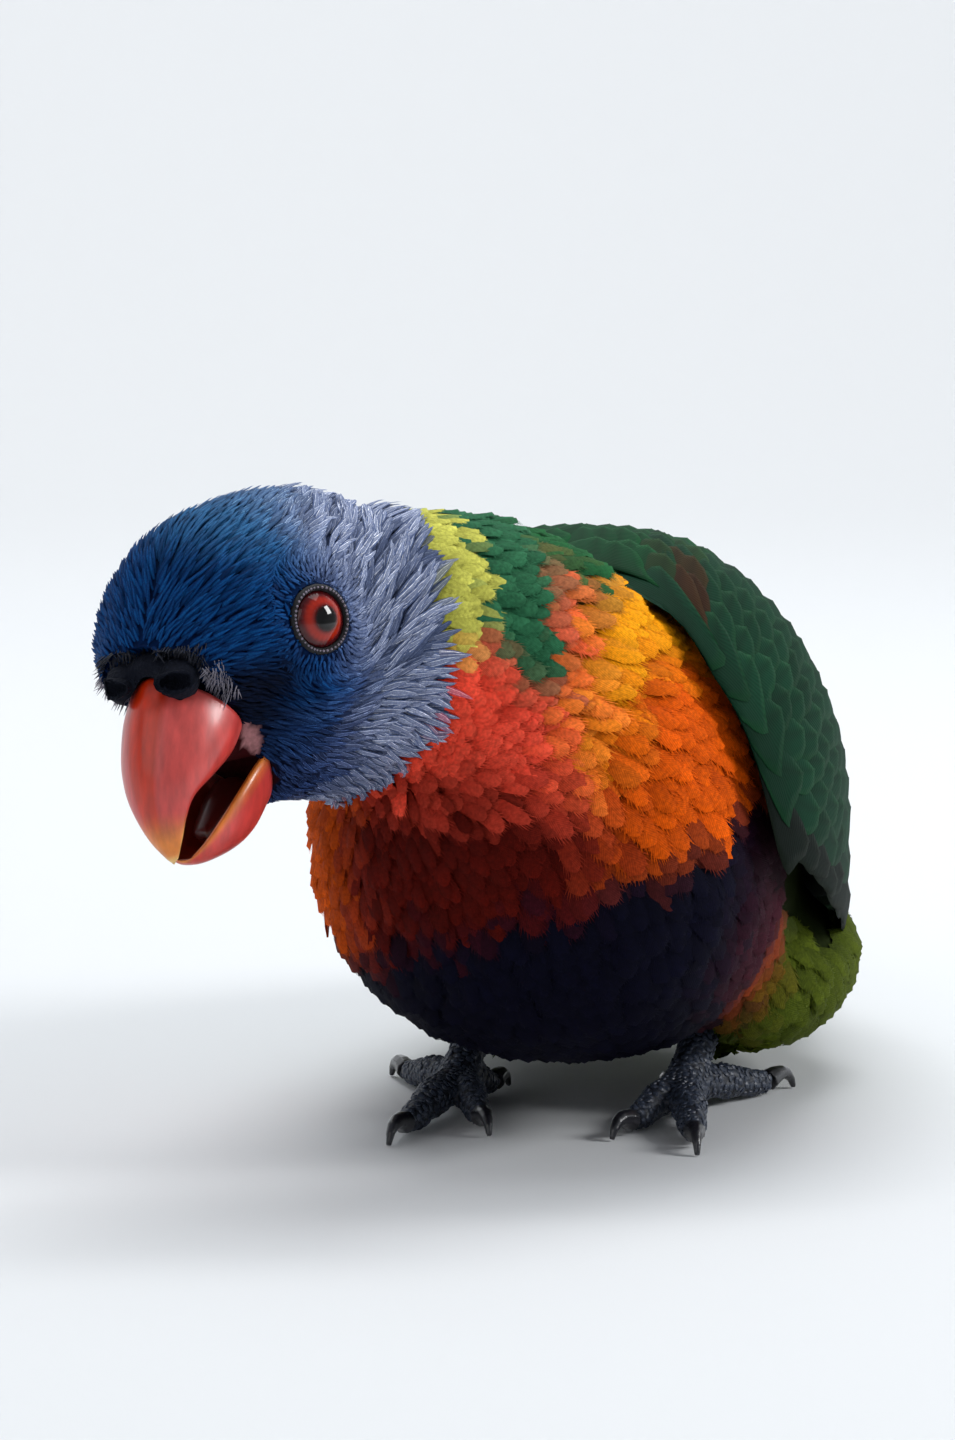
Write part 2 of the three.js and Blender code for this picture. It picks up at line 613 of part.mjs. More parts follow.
// Thigh and flank feathers, one rounded mass beside the belly, drawn in towards the foot in front
const THIGH = { x: 17.4, y: 25, z: 15.4, across: 13.6, along: 27, high: 11.8 };
function thighSolid({ side }, grow = 0) {
  const rows = 9;
  const sides = 16;
  const rings = [];
  for (let k = 1; k < rows; k += 1) {
    const polar = (k / rows) * Math.PI;
    const reach = Math.sin(polar);
    rings.push(
      Array.from({ length: sides }, (_, i) => {
        const angle = (i / sides) * 2 * Math.PI;
        return V(
          side * THIGH.x + (THIGH.across + grow) * reach * Math.cos(angle),
          THIGH.y - (THIGH.along + grow) * Math.cos(polar),
          THIGH.z + (THIGH.high + grow) * reach * Math.sin(angle),
        );
      }),
    );
  }
  const front = V(side * THIGH.x, THIGH.y - THIGH.along - grow, THIGH.z);
  const rear = V(side * THIGH.x, THIGH.y + THIGH.along + grow, THIGH.z);
  return loft(rings, front, rear);
}

// Materials
const paint = (color, roughness) => new THREE.MeshStandardMaterial({ color, roughness, metalness: 0 });
const MATERIALS = {
  head: paint(0x23407f, 0.75),
  neck: paint(0x4f7a45, 0.75),
  trunk: paint(0xd8551c, 0.75),
  wing: paint(0x1f5a35, 0.65),
  tail: paint(0x3f7a34, 0.65),
  thigh: paint(0x7f8f1f, 0.75),
  bill: paint(0xd8452c, 0.35),
  mouth: paint(0x5a1a14, 0.5),
  cere: paint(0x2b2d35, 0.6),
  eye: paint(0xb02a1c, 0.1),
  foot: paint(0x5a5d66, 0.6),
  claw: paint(0x26262a, 0.35),
};

const bird = new THREE.Group();
bird.name = "rainbow_lorikeet";
function place(name, shape, material) {
  const mesh = shape.getMesh();
  const geometry = new THREE.BufferGeometry();
  const positions = new Float32Array(mesh.numVert * 3);
  for (let i = 0; i < mesh.numVert; i += 1)
    positions.set(mesh.vertProperties.subarray(i * mesh.numProp, i * mesh.numProp + 3), i * 3);
  geometry.setAttribute("position", new THREE.BufferAttribute(positions, 3));
  geometry.setIndex(new THREE.BufferAttribute(mesh.triVerts, 1));
  geometry.computeVertexNormals();
  const made = new THREE.Mesh(geometry, material);
  made.name = name;
  bird.add(made);
}

// Flesh, made whole and then parted by thin cuts
const trunk = trunkSolid();
const neckAndHead = neckShape().add(headShape());
const whole = trunk.add(neckAndHead);
const chestPlane = CHEST.clone().lerp(onHead(-6, 0, 0), CHEST_CUT);
const headPlane = CHEST.clone().lerp(onHead(-6, 0, 0), HEAD_CUT);
const tailPlane = V(0, TAIL_CUT_Y, 0);
const backward = V(0, 1, 0);
const halfGap = (axis, point, sign) => point.clone().addScaledVector(axis, (sign * GAP) / 2);

const upper = upperBill();
const lower = scoop(0, false).subtract(scoop(0, true));
const tongueRings = [2.5, 5.5, 8.5, 11, 12.6].map((f, k) => {
  const r = [2.6, 2.7, 2.4, 2, 1.3][k];
  const u = -9.9 - 0.42 * (f - 2.5) - (f > 10 ? 0.3 : 0);
  return Array.from({ length: 10 }, (_, i) => {
    const angle = (i / 10) * 2 * Math.PI;
    return onHead(f, r * Math.cos(angle), u + r * 0.5 * Math.sin(angle));
  });
});
const tongue = loft(tongueRings);
const nostril = (side) => headBall(16.8, 4.1 * side, 3.8, 1.5, 2.2, 0.75, 8, 5);
// Cere: a bulge of bare skin round each nostril, joined across the top of the bill. Centre, then radii
const CERE = [
  { at: [15.1, 3.5, 3.7], r: [3, 3, 3] },
  { at: [15.1, -3.5, 3.7], r: [3, 3, 3] },
  { at: [14.7, 0, 5.4], r: [2.3, 3.2, 2.1] },
];
const cereShape = (grow = 0) =>
  union(CERE.map(({ at, r }) => headBall(...at, ...r.map((radius) => radius + grow), 10, 6)));
const cere = largest(cereShape().subtract(upperBill(GAP)).subtract(nostril(1)).subtract(nostril(-1)));
const mouthHollow = loft(
  [[4.2, 2.6], [9, 4.4], [14, 6.4], [19, 8]].map(([f, half]) =>
    Array.from({ length: 12 }, (_, i) => {
      const angle = (i / 12) * 2 * Math.PI;
      return onHead(f, 4.9 * Math.cos(angle), -8.3 - 0.28 * (f - 4) + half * 0.62 * Math.sin(angle));
    }),
  ),
);
const grownCere = cereShape(GAP);

let headPart = beyond(whole, neckAxis, halfGap(neckAxis, headPlane, 1));
headPart = union([headPart, eyelids(1), eyelids(-1)]);
const headCuts = [eyeBall(1, GAP), eyeBall(-1, GAP), upperBill(GAP), scoop(GAP, false), mouthHollow];
for (const cut of [...headCuts, grownCere]) headPart = headPart.subtract(cut);
place("head", largest(headPart), MATERIALS.head);

let neckPart = beyond(whole, neckAxis, halfGap(neckAxis, chestPlane, 1));
neckPart = before(neckPart, neckAxis, halfGap(neckAxis, headPlane, -1));
place("neck", largest(neckPart), MATERIALS.neck);

let torso = before(whole, neckAxis, halfGap(neckAxis, chestPlane, -1));
torso = before(torso, backward, halfGap(backward, tailPlane, -1));
for (const foot of FEET) torso = torso.subtract(thighSolid(foot, GAP)).subtract(shankSolid(foot, GAP));
place("torso", largest(torso), MATERIALS.trunk);

const tailBase = beyond(trunk, backward, halfGap(backward, tailPlane, 1));
let tailPart = aboveGround(union([tailBase, ...tail()]));
tailPart = beyond(tailPart, backward, halfGap(backward, tailPlane, 1));

for (const side of [1, -1]) {
  const name = side > 0 ? "left" : "right";
  let panel = wing(side);
  panel = panel.subtract(trunkSolid(GAP)).subtract(neckShape(GAP)).subtract(thighSolid({ side }, GAP));
  panel = largest(beyond(panel, V(side, -TRUNK_SWAY * side, 0).normalize(), V(side * GAP, 10, 0)));
  place(`wing_${name}`, panel, MATERIALS.wing);
  place(`eye_${name}`, eyeBall(side), MATERIALS.eye);
}
place("tail", largest(tailPart), MATERIALS.tail);
place("bill_upper", largest(upper.subtract(grownCere)), MATERIALS.bill);
place("bill_lower", largest(lower.subtract(upperBill(GAP))), MATERIALS.bill);
place("tongue", largest(tongue.subtract(scoop(GAP, false).subtract(scoop(-0.01, true)))), MATERIALS.mouth);
place("cere", cere, MATERIALS.cere);

for (const foot of FEET) {
  const toes = TOES.map((toe) => toeSolid(foot, toe));
  const sole = aboveGround(union([...toes, shankSolid(foot)]));
  const cuff = largest(thighSolid(foot).subtract(shankSolid(foot, GAP)));
  place(`thigh_${foot.name}`, cuff, MATERIALS.thigh);
  place(`foot_${foot.name}`, largest(sole), MATERIALS.foot);
  for (const toe of TOES)
    place(`claw_${foot.name}_${toe.name}`, aboveGround(clawSolid(foot, toe)), MATERIALS.claw);
}

// The bounding box's centre goes to the origin, and the ground stays at height zero
const box = new THREE.Box3().setFromObject(bird);
bird.position.set(-(box.min.x + box.max.x) / 2, -(box.min.y + box.max.y) / 2, -box.min.z);

export default bird;
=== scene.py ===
import math

import bmesh
import bpy
import numpy as np
from mathutils import Matrix, Vector
from mathutils.bvhtree import BVHTree
from mathutils.kdtree import KDTree


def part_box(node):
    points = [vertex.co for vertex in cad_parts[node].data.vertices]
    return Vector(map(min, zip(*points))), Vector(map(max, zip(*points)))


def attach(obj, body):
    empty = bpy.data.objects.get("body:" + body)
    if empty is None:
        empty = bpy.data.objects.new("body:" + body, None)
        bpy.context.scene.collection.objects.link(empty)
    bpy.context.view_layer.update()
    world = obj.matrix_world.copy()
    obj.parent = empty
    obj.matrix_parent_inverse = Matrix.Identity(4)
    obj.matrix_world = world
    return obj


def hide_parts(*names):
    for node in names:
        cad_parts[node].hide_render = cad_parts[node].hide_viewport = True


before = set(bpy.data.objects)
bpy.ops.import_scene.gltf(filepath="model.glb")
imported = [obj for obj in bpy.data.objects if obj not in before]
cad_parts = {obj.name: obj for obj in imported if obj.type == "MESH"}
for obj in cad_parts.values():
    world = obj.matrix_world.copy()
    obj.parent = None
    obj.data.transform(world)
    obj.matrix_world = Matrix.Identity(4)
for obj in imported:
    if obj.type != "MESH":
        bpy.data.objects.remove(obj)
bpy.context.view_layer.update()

# Skin
# One skin of flesh and down lies under the whole plumage, from the face to the root of the tail. It is
# fused from the body's solids, smoothed, and drawn in by the depth that the feathers then fill.

# Sizes are in millimetres in the bird's own frame: it faces -Y, +X is its left and the ground is at 0.
# The head is turned to its right, lowered and tipped, so it has axes of its own, from between the eyes.
MM = 0.001
HEAD_CENTRE = np.array([-26.0, -53.7, 57.3])
HEAD_YAW, HEAD_PITCH, HEAD_ROLL = 15.0, 10.0, 8.0
EYE_PLACE = (0.8, 11.1, 5.8)
EYE_RADIUS = 4.5


def unit(v):
    return v / np.linalg.norm(v, axis=-1, keepdims=True)


def turned(v, axis, degrees):
    angle = math.radians(degrees)
    return v * math.cos(angle) + np.cross(axis, v) * math.sin(angle)


yaw, pitch = math.radians(HEAD_YAW), math.radians(HEAD_PITCH)
head_f = np.array([-math.sin(yaw) * math.cos(pitch), -math.cos(yaw) * math.cos(pitch), -math.sin(pitch)])
head_l = turned(np.array([math.cos(yaw), -math.sin(yaw), 0.0]), head_f, HEAD_ROLL)
head_u = np.cross(head_f, head_l)


def on_head(f, l, u):
    """A place given as forward, left and up from between the eyes."""
    f, l, u = (np.asarray(k, float)[..., None] for k in (f, l, u))
    return HEAD_CENTRE + f * head_f + l * head_l + u * head_u


def to_head(points):
    away = points - HEAD_CENTRE
    return away @ head_f, away @ head_l, away @ head_u


def box_centre(node):
    low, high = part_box(node)
    return (np.array(low) + np.array(high)) / 2 / MM


eye_middle = (box_centre("eye_left") + box_centre("eye_right")) / 2
SHIFT = eye_middle - on_head(EYE_PLACE[0], 0, EYE_PLACE[2])


def metres(points):
    """Places in the bird's millimetres, in the scene's metres."""
    return (points + SHIFT) * MM


def smooth(x, low, high):
    """A soft step: 0 at low, 1 at high. It falls where high is the smaller."""
    t = np.clip((x - low) / (high - low), 0.0, 1.0)
    return t * t * (3 - 2 * t)


def mix(a, b, t):
    return a + (b - a) * t


FLESH = ("head", "neck", "torso", "thigh_left", "thigh_right")
TRUNK_Y = np.array([-45.0, -40, -30, -15, 4, 24, 44, 62, 80, 98, 112])
TRUNK_W = np.array([9.0, 18.5, 26, 29, 28.6, 26.6, 24.2, 20.5, 12.5, 9, 6])
TRUNK_TOP = np.array([49.0, 57, 64, 67, 68.6, 65.5, 55.5, 43, 29.5, 18.5, 12])
TRUNK_BOTTOM = np.array([33.0, 23, 13, 7.5, 6.4, 6.6, 7, 7, 7, 5.2, 4])
SWAY = -0.055
CHEST, NAPE = np.array([-2.0, -17, 46]), on_head(-6, 0, 0)
BILL_ROOT, MOUTH_ROOT = on_head(14, 0, -1), on_head(8, 0, -11)
BODY_DEPTH, HEAD_DEPTH, FACE_DEPTH = 2.6, 1.25, 0.45
GROW = 0.25
SKIN_VOXEL = 0.8


def along(values, y):
    """Smooth curve through the trunk's sections."""
    y = np.clip(y, TRUNK_Y[0], TRUNK_Y[-1])
    slopes = np.empty_like(values)
    slopes[1:-1] = (values[2:] - values[:-2]) / (TRUNK_Y[2:] - TRUNK_Y[:-2])
    slopes[0] = (values[1] - values[0]) / (TRUNK_Y[1] - TRUNK_Y[0])
    slopes[-1] = (values[-1] - values[-2]) / (TRUNK_Y[-1] - TRUNK_Y[-2])
    i = np.clip(np.searchsorted(TRUNK_Y, y) - 1, 0, len(TRUNK_Y) - 2)
    span = TRUNK_Y[i + 1] - TRUNK_Y[i]
    t = (y - TRUNK_Y[i]) / span
    t2, t3 = t * t, t * t * t
    return (
        values[i] * (2 * t3 - 3 * t2 + 1)
        + slopes[i] * span * (t3 - 2 * t2 + t)
        + values[i + 1] * (3 * t2 - 2 * t3)
        + slopes[i + 1] * span * (t3 - t2)
    )


def sway(y):
    """How far the rear of the body leans to the bird's right."""
    return SWAY * np.maximum(0, y - 10) * smooth(y, 0, 60)


def trunk_point(y, angle, grow=0.0):
    """A point of the trunk's surface, by its place along the body and its angle up from the left."""
    y, angle = np.broadcast_arrays(np.asarray(y, float), np.asarray(angle, float))
    w = along(TRUNK_W, y) + grow
    top = along(TRUNK_TOP, y) + grow
    bottom = along(TRUNK_BOTTOM, y) - grow
    middle = mix(bottom, top, 0.47)
    c, s = np.cos(angle), np.sin(angle)
    fuller = np.where(s > 0, 0.94, mix(0.94, 0.62, smooth(y, -20, 35)))
    x = np.sign(c) * w * np.abs(c) ** fuller
    rise = np.where(s > 0, (top - middle) * np.abs(s) ** 0.97, -(middle - bottom) * np.abs(s) ** fuller)
    return np.stack([sway(y) + x, y, middle + rise], -1)


def linked(name, data):
    """A new object in the scene, made of this data."""
    obj = bpy.data.objects.new(name, data)
    bpy.context.scene.collection.objects.link(obj)
    return obj


def shade_smooth(mesh):
    mesh.polygons.foreach_set("use_smooth", np.ones(len(mesh.polygons), bool))


def new_mesh(name, points, faces):
    """An object from points in the bird's millimetres and faces of three or four corners."""
    mesh = bpy.data.meshes.new(name)
    flat = np.concatenate([np.asarray(f, np.int32).ravel() for f in faces])
    counts = np.concatenate([np.full(len(f), np.asarray(f).shape[1], np.int32) for f in faces])
    mesh.vertices.add(len(points))
    mesh.vertices.foreach_set("co", metres(points).astype(np.float32).ravel())
    mesh.loops.add(len(flat))
    mesh.loops.foreach_set("vertex_index", flat)
    mesh.polygons.add(len(counts))
    starts = np.concatenate([[0], np.cumsum(counts)[:-1]]).astype(np.int32)
    mesh.polygons.foreach_set("loop_start", starts)
    shade_smooth(mesh)
    mesh.update(calc_edges=True)
    return linked(name, mesh)


def ring_faces(rows, columns, closed=True):
    """Quads between rows of points, each row a closed ring unless told otherwise."""
    last = columns if closed else columns - 1
    i, j = np.meshgrid(np.arange(rows - 1), np.arange(last), indexing="ij")
    a = i * columns + j
    b = i * columns + (j + 1) % columns
    return np.stack([a, b, b + columns, a + columns], -1).reshape(-1, 4)


def loft(name, rings, start=None, end=None):
    """A closed tube through rings of points, drawn to a point at each end."""
    rows, columns = rings.shape[:2]
    start = rings[0].mean(0) if start is None else start
    end = rings[-1].mean(0) if end is None else end
    points = np.concatenate([rings.reshape(-1, 3), [start], [end]])
    j = np.arange(columns)
    k = (j + 1) % columns
    first, last = rows * columns, rows * columns + 1
    top = (rows - 1) * columns
    caps = np.concatenate([
        np.stack([np.full(columns, first), k, j], -1),
        np.stack([np.full(columns, last), top + j, top + k], -1),
    ])
    obj = new_mesh(name, points, [ring_faces(rows, columns), caps])
    face_out(obj)
    return obj


def face_out(obj):
    work = bmesh.new()
    work.from_mesh(obj.data)
    bmesh.ops.recalc_face_normals(work, faces=work.faces)
    work.to_mesh(obj.data)
    work.free()


def node_copy(node, grow=0.0):
    """A loose copy of one of the body's solids, welded, and grown a little so that neighbours meet."""
    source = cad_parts[node]
    mesh = source.data.copy()
    work = bmesh.new()
    work.from_mesh(mesh)
    bmesh.ops.remove_doubles(work, verts=work.verts, dist=0.00001)
    work.normal_update()
    for vertex in work.verts:
        vertex.co += vertex.normal * grow * MM
    work.to_mesh(mesh)
    work.free()
    obj = linked(node + "_copy", mesh)
    obj.matrix_world = source.matrix_world.copy()
    return obj


def plain_mesh(obj):
    """What an object's modifiers make of it, as a mesh of its own, with the modifiers then removed."""
    graph = bpy.context.evaluated_depsgraph_get()
    mesh = bpy.data.meshes.new_from_object(obj.evaluated_get(graph))
    obj.modifiers.clear()
    return mesh


def joined(objects, name):
    """Several meshes as one."""
    work = bmesh.new()
    for obj in objects:
        work.from_mesh(obj.data)
        bpy.data.objects.remove(obj)
    mesh = bpy.data.meshes.new(name)
    work.to_mesh(mesh)
    work.free()
    return linked(name, mesh)


def fused(obj, voxel, rounds):
    """Closed skin over a mesh, with its facets smoothed away."""
    remesh = obj.modifiers.new("fuse", "REMESH")
    remesh.mode = "VOXEL"
    remesh.voxel_size = voxel * MM
    ease = obj.modifiers.new("ease", "SMOOTH")
    ease.factor = 0.5
    ease.iterations = rounds
    obj.data = plain_mesh(obj)
    obj.data.name = obj.name
    return obj


def field_of(items, field, width, kind=np.float32):
    """One field of every item of a mesh, a row of numbers for each."""
    values = np.empty(len(items) * width, kind)
    items.foreach_get(field, values)
    return values.reshape(-1, width)


def vertices_of(obj):
    return field_of(obj.data.vertices, "co", 3).astype(float) / MM - SHIFT


def normals_of(obj):
    return field_of(obj.data.vertices, "normal", 3).astype(float)


def set_vertices(obj, points):
    obj.data.vertices.foreach_set("co", metres(points).astype(np.float32).ravel())
    obj.data.update()


neck_line = unit(NAPE - CHEST)
neck_length = float(np.linalg.norm(NAPE - CHEST))


def neck_share(points):
    """How far a point lies along the neck: 0 in the chest and 1 in the head."""
    return (points - CHEST) @ neck_line / neck_length


def eye_centre(side):
    return on_head(EYE_PLACE[0], EYE_PLACE[1] * side, EYE_PLACE[2])


def face_distance(points):
    """How far a point is from the nearest eye, bill or corner of the mouth."""
    away = [np.linalg.norm(points - eye_centre(side), axis=-1) - EYE_RADIUS for side in (1, -1)]
    away.append(np.linalg.norm(points - BILL_ROOT, axis=-1) - 6.5)
    away.append(np.linalg.norm(points - MOUTH_ROOT, axis=-1) - 6.5)
    return np.minimum.reduce(away)


def coat_depth(points):
    """How thick the coat of feathers is: deep on the body, thin on the head and thinnest on the face."""
    on_neck = smooth(neck_share(points), 0.75, 0.45)
    depth = mix(HEAD_DEPTH, BODY_DEPTH, on_neck)
    return mix(FACE_DEPTH, depth, smooth(face_distance(points), 0.5, 9))


rump_y = np.linspace(78, 114, 10)
rump_turn = np.linspace(0, 2 * math.pi, 32, endpoint=False)
rump = loft("rump", np.stack([trunk_point(y, rump_turn, GROW) for y in rump_y]))
skin = joined([node_copy(node, GROW) for node in FLESH] + [rump], "skin")
fused(skin, SKIN_VOXEL, 6)
skin_points = vertices_of(skin)
skin_points -= normals_of(skin) * (coat_depth(skin_points)[:, None] + GROW)
# The face is drawn back behind the root of the bill
f, l, u = to_head(skin_points)
behind_bill = np.maximum(0, f - 11.0) * smooth(u, 4.0, 1.5) * smooth(u, -16, -10)
skin_points -= behind_bill[:, None] * head_f
set_vertices(skin, skin_points)
shade_smooth(skin.data)

# Each part of the plumage has a pair of colours, one for a feather's web and a lighter one for its shaft
# and rim: blue hood, grey-blue cheeks, yellow-green collar, green back, red and yellow breast and
# near-black belly.


def linear(code):
    """A colour written as sRGB hex, as linear light."""
    parts = [int(code[k : k + 2], 16) / 255 for k in (1, 3, 5)]
    return np.array([p / 12.92 if p <= 0.04045 else ((p + 0.055) / 1.055) ** 2.4 for p in parts])


def pair_of(web, shaft):
    return linear(web), linear(shaft)


CROWN = pair_of("#02285c", "#1c7cca")
# A lighter teal for the top of the crown, a painted rim of light from above
CROWN_PAINTED_RIM_LIGHT = pair_of("#15507e", "#68b2de")
LORE = pair_of("#030a1c", "#10264e")
CHEEK = pair_of("#56668f", "#f0f4ff")
CHIN = pair_of("#0a1838", "#5c80cc")
COLLAR = pair_of("#7c7c2a", "#c8c65a")
NECK_GREEN = pair_of("#123f2a", "#2f6a48")
BREAST_RED = pair_of("#dc2816", "#ff5a42")
BREAST_YELLOW = pair_of("#cc7400", "#ee9e0a")
BREAST_ORANGE = pair_of("#a03002", "#dc5802")
# Deep red of the lower breast, darkened also as a painted shadow of the head
BREAST_DEEP_RED_AND_HEAD_SHADOW = pair_of("#280301", "#540c04")
# A painted shadow, dark wine, beside and under the wing's front edge
WING_SHADOW = pair_of("#0a0408", "#1e0c14")
BELLY = pair_of("#010108", "#06061a")
FLANK = pair_of("#1c0a16", "#40101e")
THIGH = pair_of("#28340a", "#4c580e")
THIGH_RED = pair_of("#48140a", "#843410")
VENT = pair_of("#24400c", "#4c6816")
BACK = pair_of("#0c3a20", "#1d5c30")
MOUTH = pair_of("#2a0608", "#3a0c0e")
GAPE = pair_of("#96686a", "#a88a8c")


def hood_border(u):
    """How far along the neck the hood's feathers start, at a height on the head."""
    return 0.67 + 0.075 * smooth(u, -9, 3) - 0.012 * smooth(u, 6, 13)


def cheek_share(f, u):
    """How much of the grey-blue cheek shows at a place of the hood, against the deep blue crown."""
    behind = smooth(f, 3.5, -8) * (1 - 0.75 * smooth(u, 14, 19) * smooth(f, -18, -6))
    below = smooth(u, -1, -6) * smooth(f, 8, 1)
    return np.maximum(behind, below)


def markings(points):
    """Web colour and shaft colour at each point."""
    f, l, u = to_head(points)
    x, y, z = points[:, 0], points[:, 1], points[:, 2]
    t = neck_share(points)
    side = np.abs(x - sway(y))
    result = []
    for k in range(2):
        # Breast: red at the throat, yellow to orange at the sides, and deep red low in the middle, partly
        # its own colour and partly a painted shadow cast by the head
        sides = smooth(x, 1.5, 9) + smooth(x, -12, -17)
        breast = mix(BREAST_RED[k], BREAST_YELLOW[k], (sides * smooth(z, 42, 56))[:, None])
        lower = smooth(z, 64, 54)
        outer = np.maximum(smooth(x, 6, 14), smooth(x, -13, -19))
        breast = mix(breast, BREAST_ORANGE[k], (lower * outer)[:, None])
        # Darker low in the middle: the breast's own deep red and a painted shadow cast by the head
        shade = smooth(z, 49, 41) * smooth(np.abs(x + 3), 21, 10)
        breast = mix(breast, BREAST_DEEP_RED_AND_HEAD_SHADOW[k], shade[:, None])
        # Belly: near black, wine red on the flanks, yellow-green from the thighs back
        belly = mix(BELLY[k], FLANK[k], (smooth(side, 18, 25) * smooth(y, -34, -14))[:, None])
        belly = mix(belly, THIGH_RED[k], (smooth(side, 16, 23) * smooth(y, -14, -6))[:, None])
        belly = mix(belly, THIGH[k], smooth(y + 0.35 * side, 2, 13)[:, None])
        belly = mix(belly, VENT[k], smooth(y, 34, 56)[:, None])
        edge = 32.5 + 0.36 * x + 0.02 * np.maximum(0, x - 10) ** 2 + 1.2 * np.sin(x * 0.55)
        body = mix(breast, belly, smooth(z, edge + 3.5, edge - 2.5)[:, None])
        # A painted shadow of the wing, dark wine, on the body beside its front edge, and green over the
        # back
        wing_shadow_mask = smooth(y, -27, -18) * smooth(x, 13, 19) * (1 - smooth(y, 10, 22)) * smooth(z, 30, 37)
        body = mix(body, WING_SHADOW[k], wing_shadow_mask[:, None])
        mantle = mix(7.0 + 11.0 * smooth(x, 2, -4), 20.0, smooth(y, -18, -4))
        back = smooth(z, 50, 58) * smooth(y, -36, -28) * smooth(side, mantle + 1.5, mantle - 1.5)
        rear_edge = 34 - 0.35 * np.maximum(y - 44, 0)
        back = np.maximum(back, smooth(y, 14, 26) * smooth(z - rear_edge, -3, 3))
        body = mix(body, BACK[k], back[:, None])
        # Neck: green behind, with the yellow-green collar next to the hood
        nape = smooth(t, 0.38, 0.46) * smooth(z + 0.9 * y + 0.75 * x, 17, 25)
        body = mix(body, NECK_GREEN[k], nape[:, None])
        collar = smooth(t, 0.61, 0.635) * smooth(z, 57.5, 62)
        body = mix(body, COLLAR[k], collar[:, None])
        # Hood: deep blue crown, near-black lores, dark blue chin, grey-blue cheeks
        # The top of the crown is painted lighter and more teal, as light along its top edge
        crown = mix(CROWN[k], CROWN_PAINTED_RIM_LIGHT[k], (0.75 * smooth(u + 0.3 * l, 13, 20))[:, None])
        crown = mix(crown, LORE[k], (smooth(u, 6.5, 1.5) * smooth(f, 2, 8))[:, None])
        cheek = mix(CHEEK[k], CHIN[k], (smooth(f, -7, 3) * smooth(u, 2, -5))[:, None])
        hood = mix(crown, cheek, cheek_share(f, u)[:, None])
        hood = mix(hood, CHIN[k], (smooth(u, -7, -12) * smooth(f, -7, 0))[:, None])
        result.append(mix(body, hood, smooth(t - hood_border(u), -0.02, 0.01)[:, None]))
    return result


def in_mouth(points):
    """Inside the open mouth, where no feather grows."""
    f, l, u = to_head(points)
    return (f > 2.5) & (np.abs(l) < 4.9) & (u > -13.5) & (u < -4.5)


def at_gape(points):
    """Bare skin at the corners of the mouth."""
    f, l, u = to_head(points)
    away = np.sqrt((f - 8.2) ** 2 + ((np.abs(l) - 6.0) * 0.8) ** 2 + ((u + 6.6) * 0.62) ** 2)
    return away < 2.1


def add_node(tree, kind, settings=None, **links):
    """One shader node, with its settings and what its inputs are set to or linked from."""
    node = tree.nodes.new(kind)
    for key, value in (settings or {}).items():
        setattr(node, key, value)
    for key, value in links.items():
        by_number = key[0] == "i" and key[1:].isdigit()
        socket = node.inputs[int(key[1:]) if by_number else key.replace("_", " ")]
        if isinstance(value, bpy.types.NodeSocket):
            tree.links.new(value, socket)
        else:
            socket.default_value = value
    return node


def new_material(name, **sockets):
    """A material with one surface shader, and that shader's sockets set."""
    made = bpy.data.materials.new(name)
    made.use_nodes = True
    shader = made.node_tree.nodes["Principled BSDF"]
    for key, value in sockets.items():
        shader.inputs[key.replace("_", " ")].default_value = value
    return made, made.node_tree, shader


def colour_layer(obj, colours, name="marking"):
    layer = obj.data.color_attributes.new(name, "FLOAT_COLOR", "POINT")
    rgba = np.ones((len(colours), 4), np.float32)
    rgba[:, :3] = colours
    layer.data.foreach_set("color", rgba.ravel())


def barb_place(tree, slant):
    """How far along its feather a place is, told along the barbs that slant out from the shaft."""
    web = add_node(tree, "ShaderNodeUVMap", {"uv_map": "web"})
    split = add_node(tree, "ShaderNodeSeparateXYZ", Vector=web.outputs["UV"])
    aside = add_node(tree, "ShaderNodeMath", {"operation": "ABSOLUTE"}, i0=split.outputs["X"])
    run = add_node(
        tree, "ShaderNodeMath", {"operation": "MULTIPLY_ADD"}, i0=aside.outputs["Value"], i1=slant,
        i2=split.outputs["Y"],
    )
    return run.outputs["Value"]


def tint(tree, shader, shade):
    """The piece's own marking, made lighter and darker by a shade, as its colour."""
    tone = add_node(tree, "ShaderNodeAttribute", {"attribute_name": "marking"}).outputs["Color"]
    tinted = add_node(tree, "ShaderNodeVectorMath", {"operation": "SCALE"}, i0=tone, Scale=shade)
    tree.links.new(tinted.outputs["Vector"], shader.inputs["Base Color"])


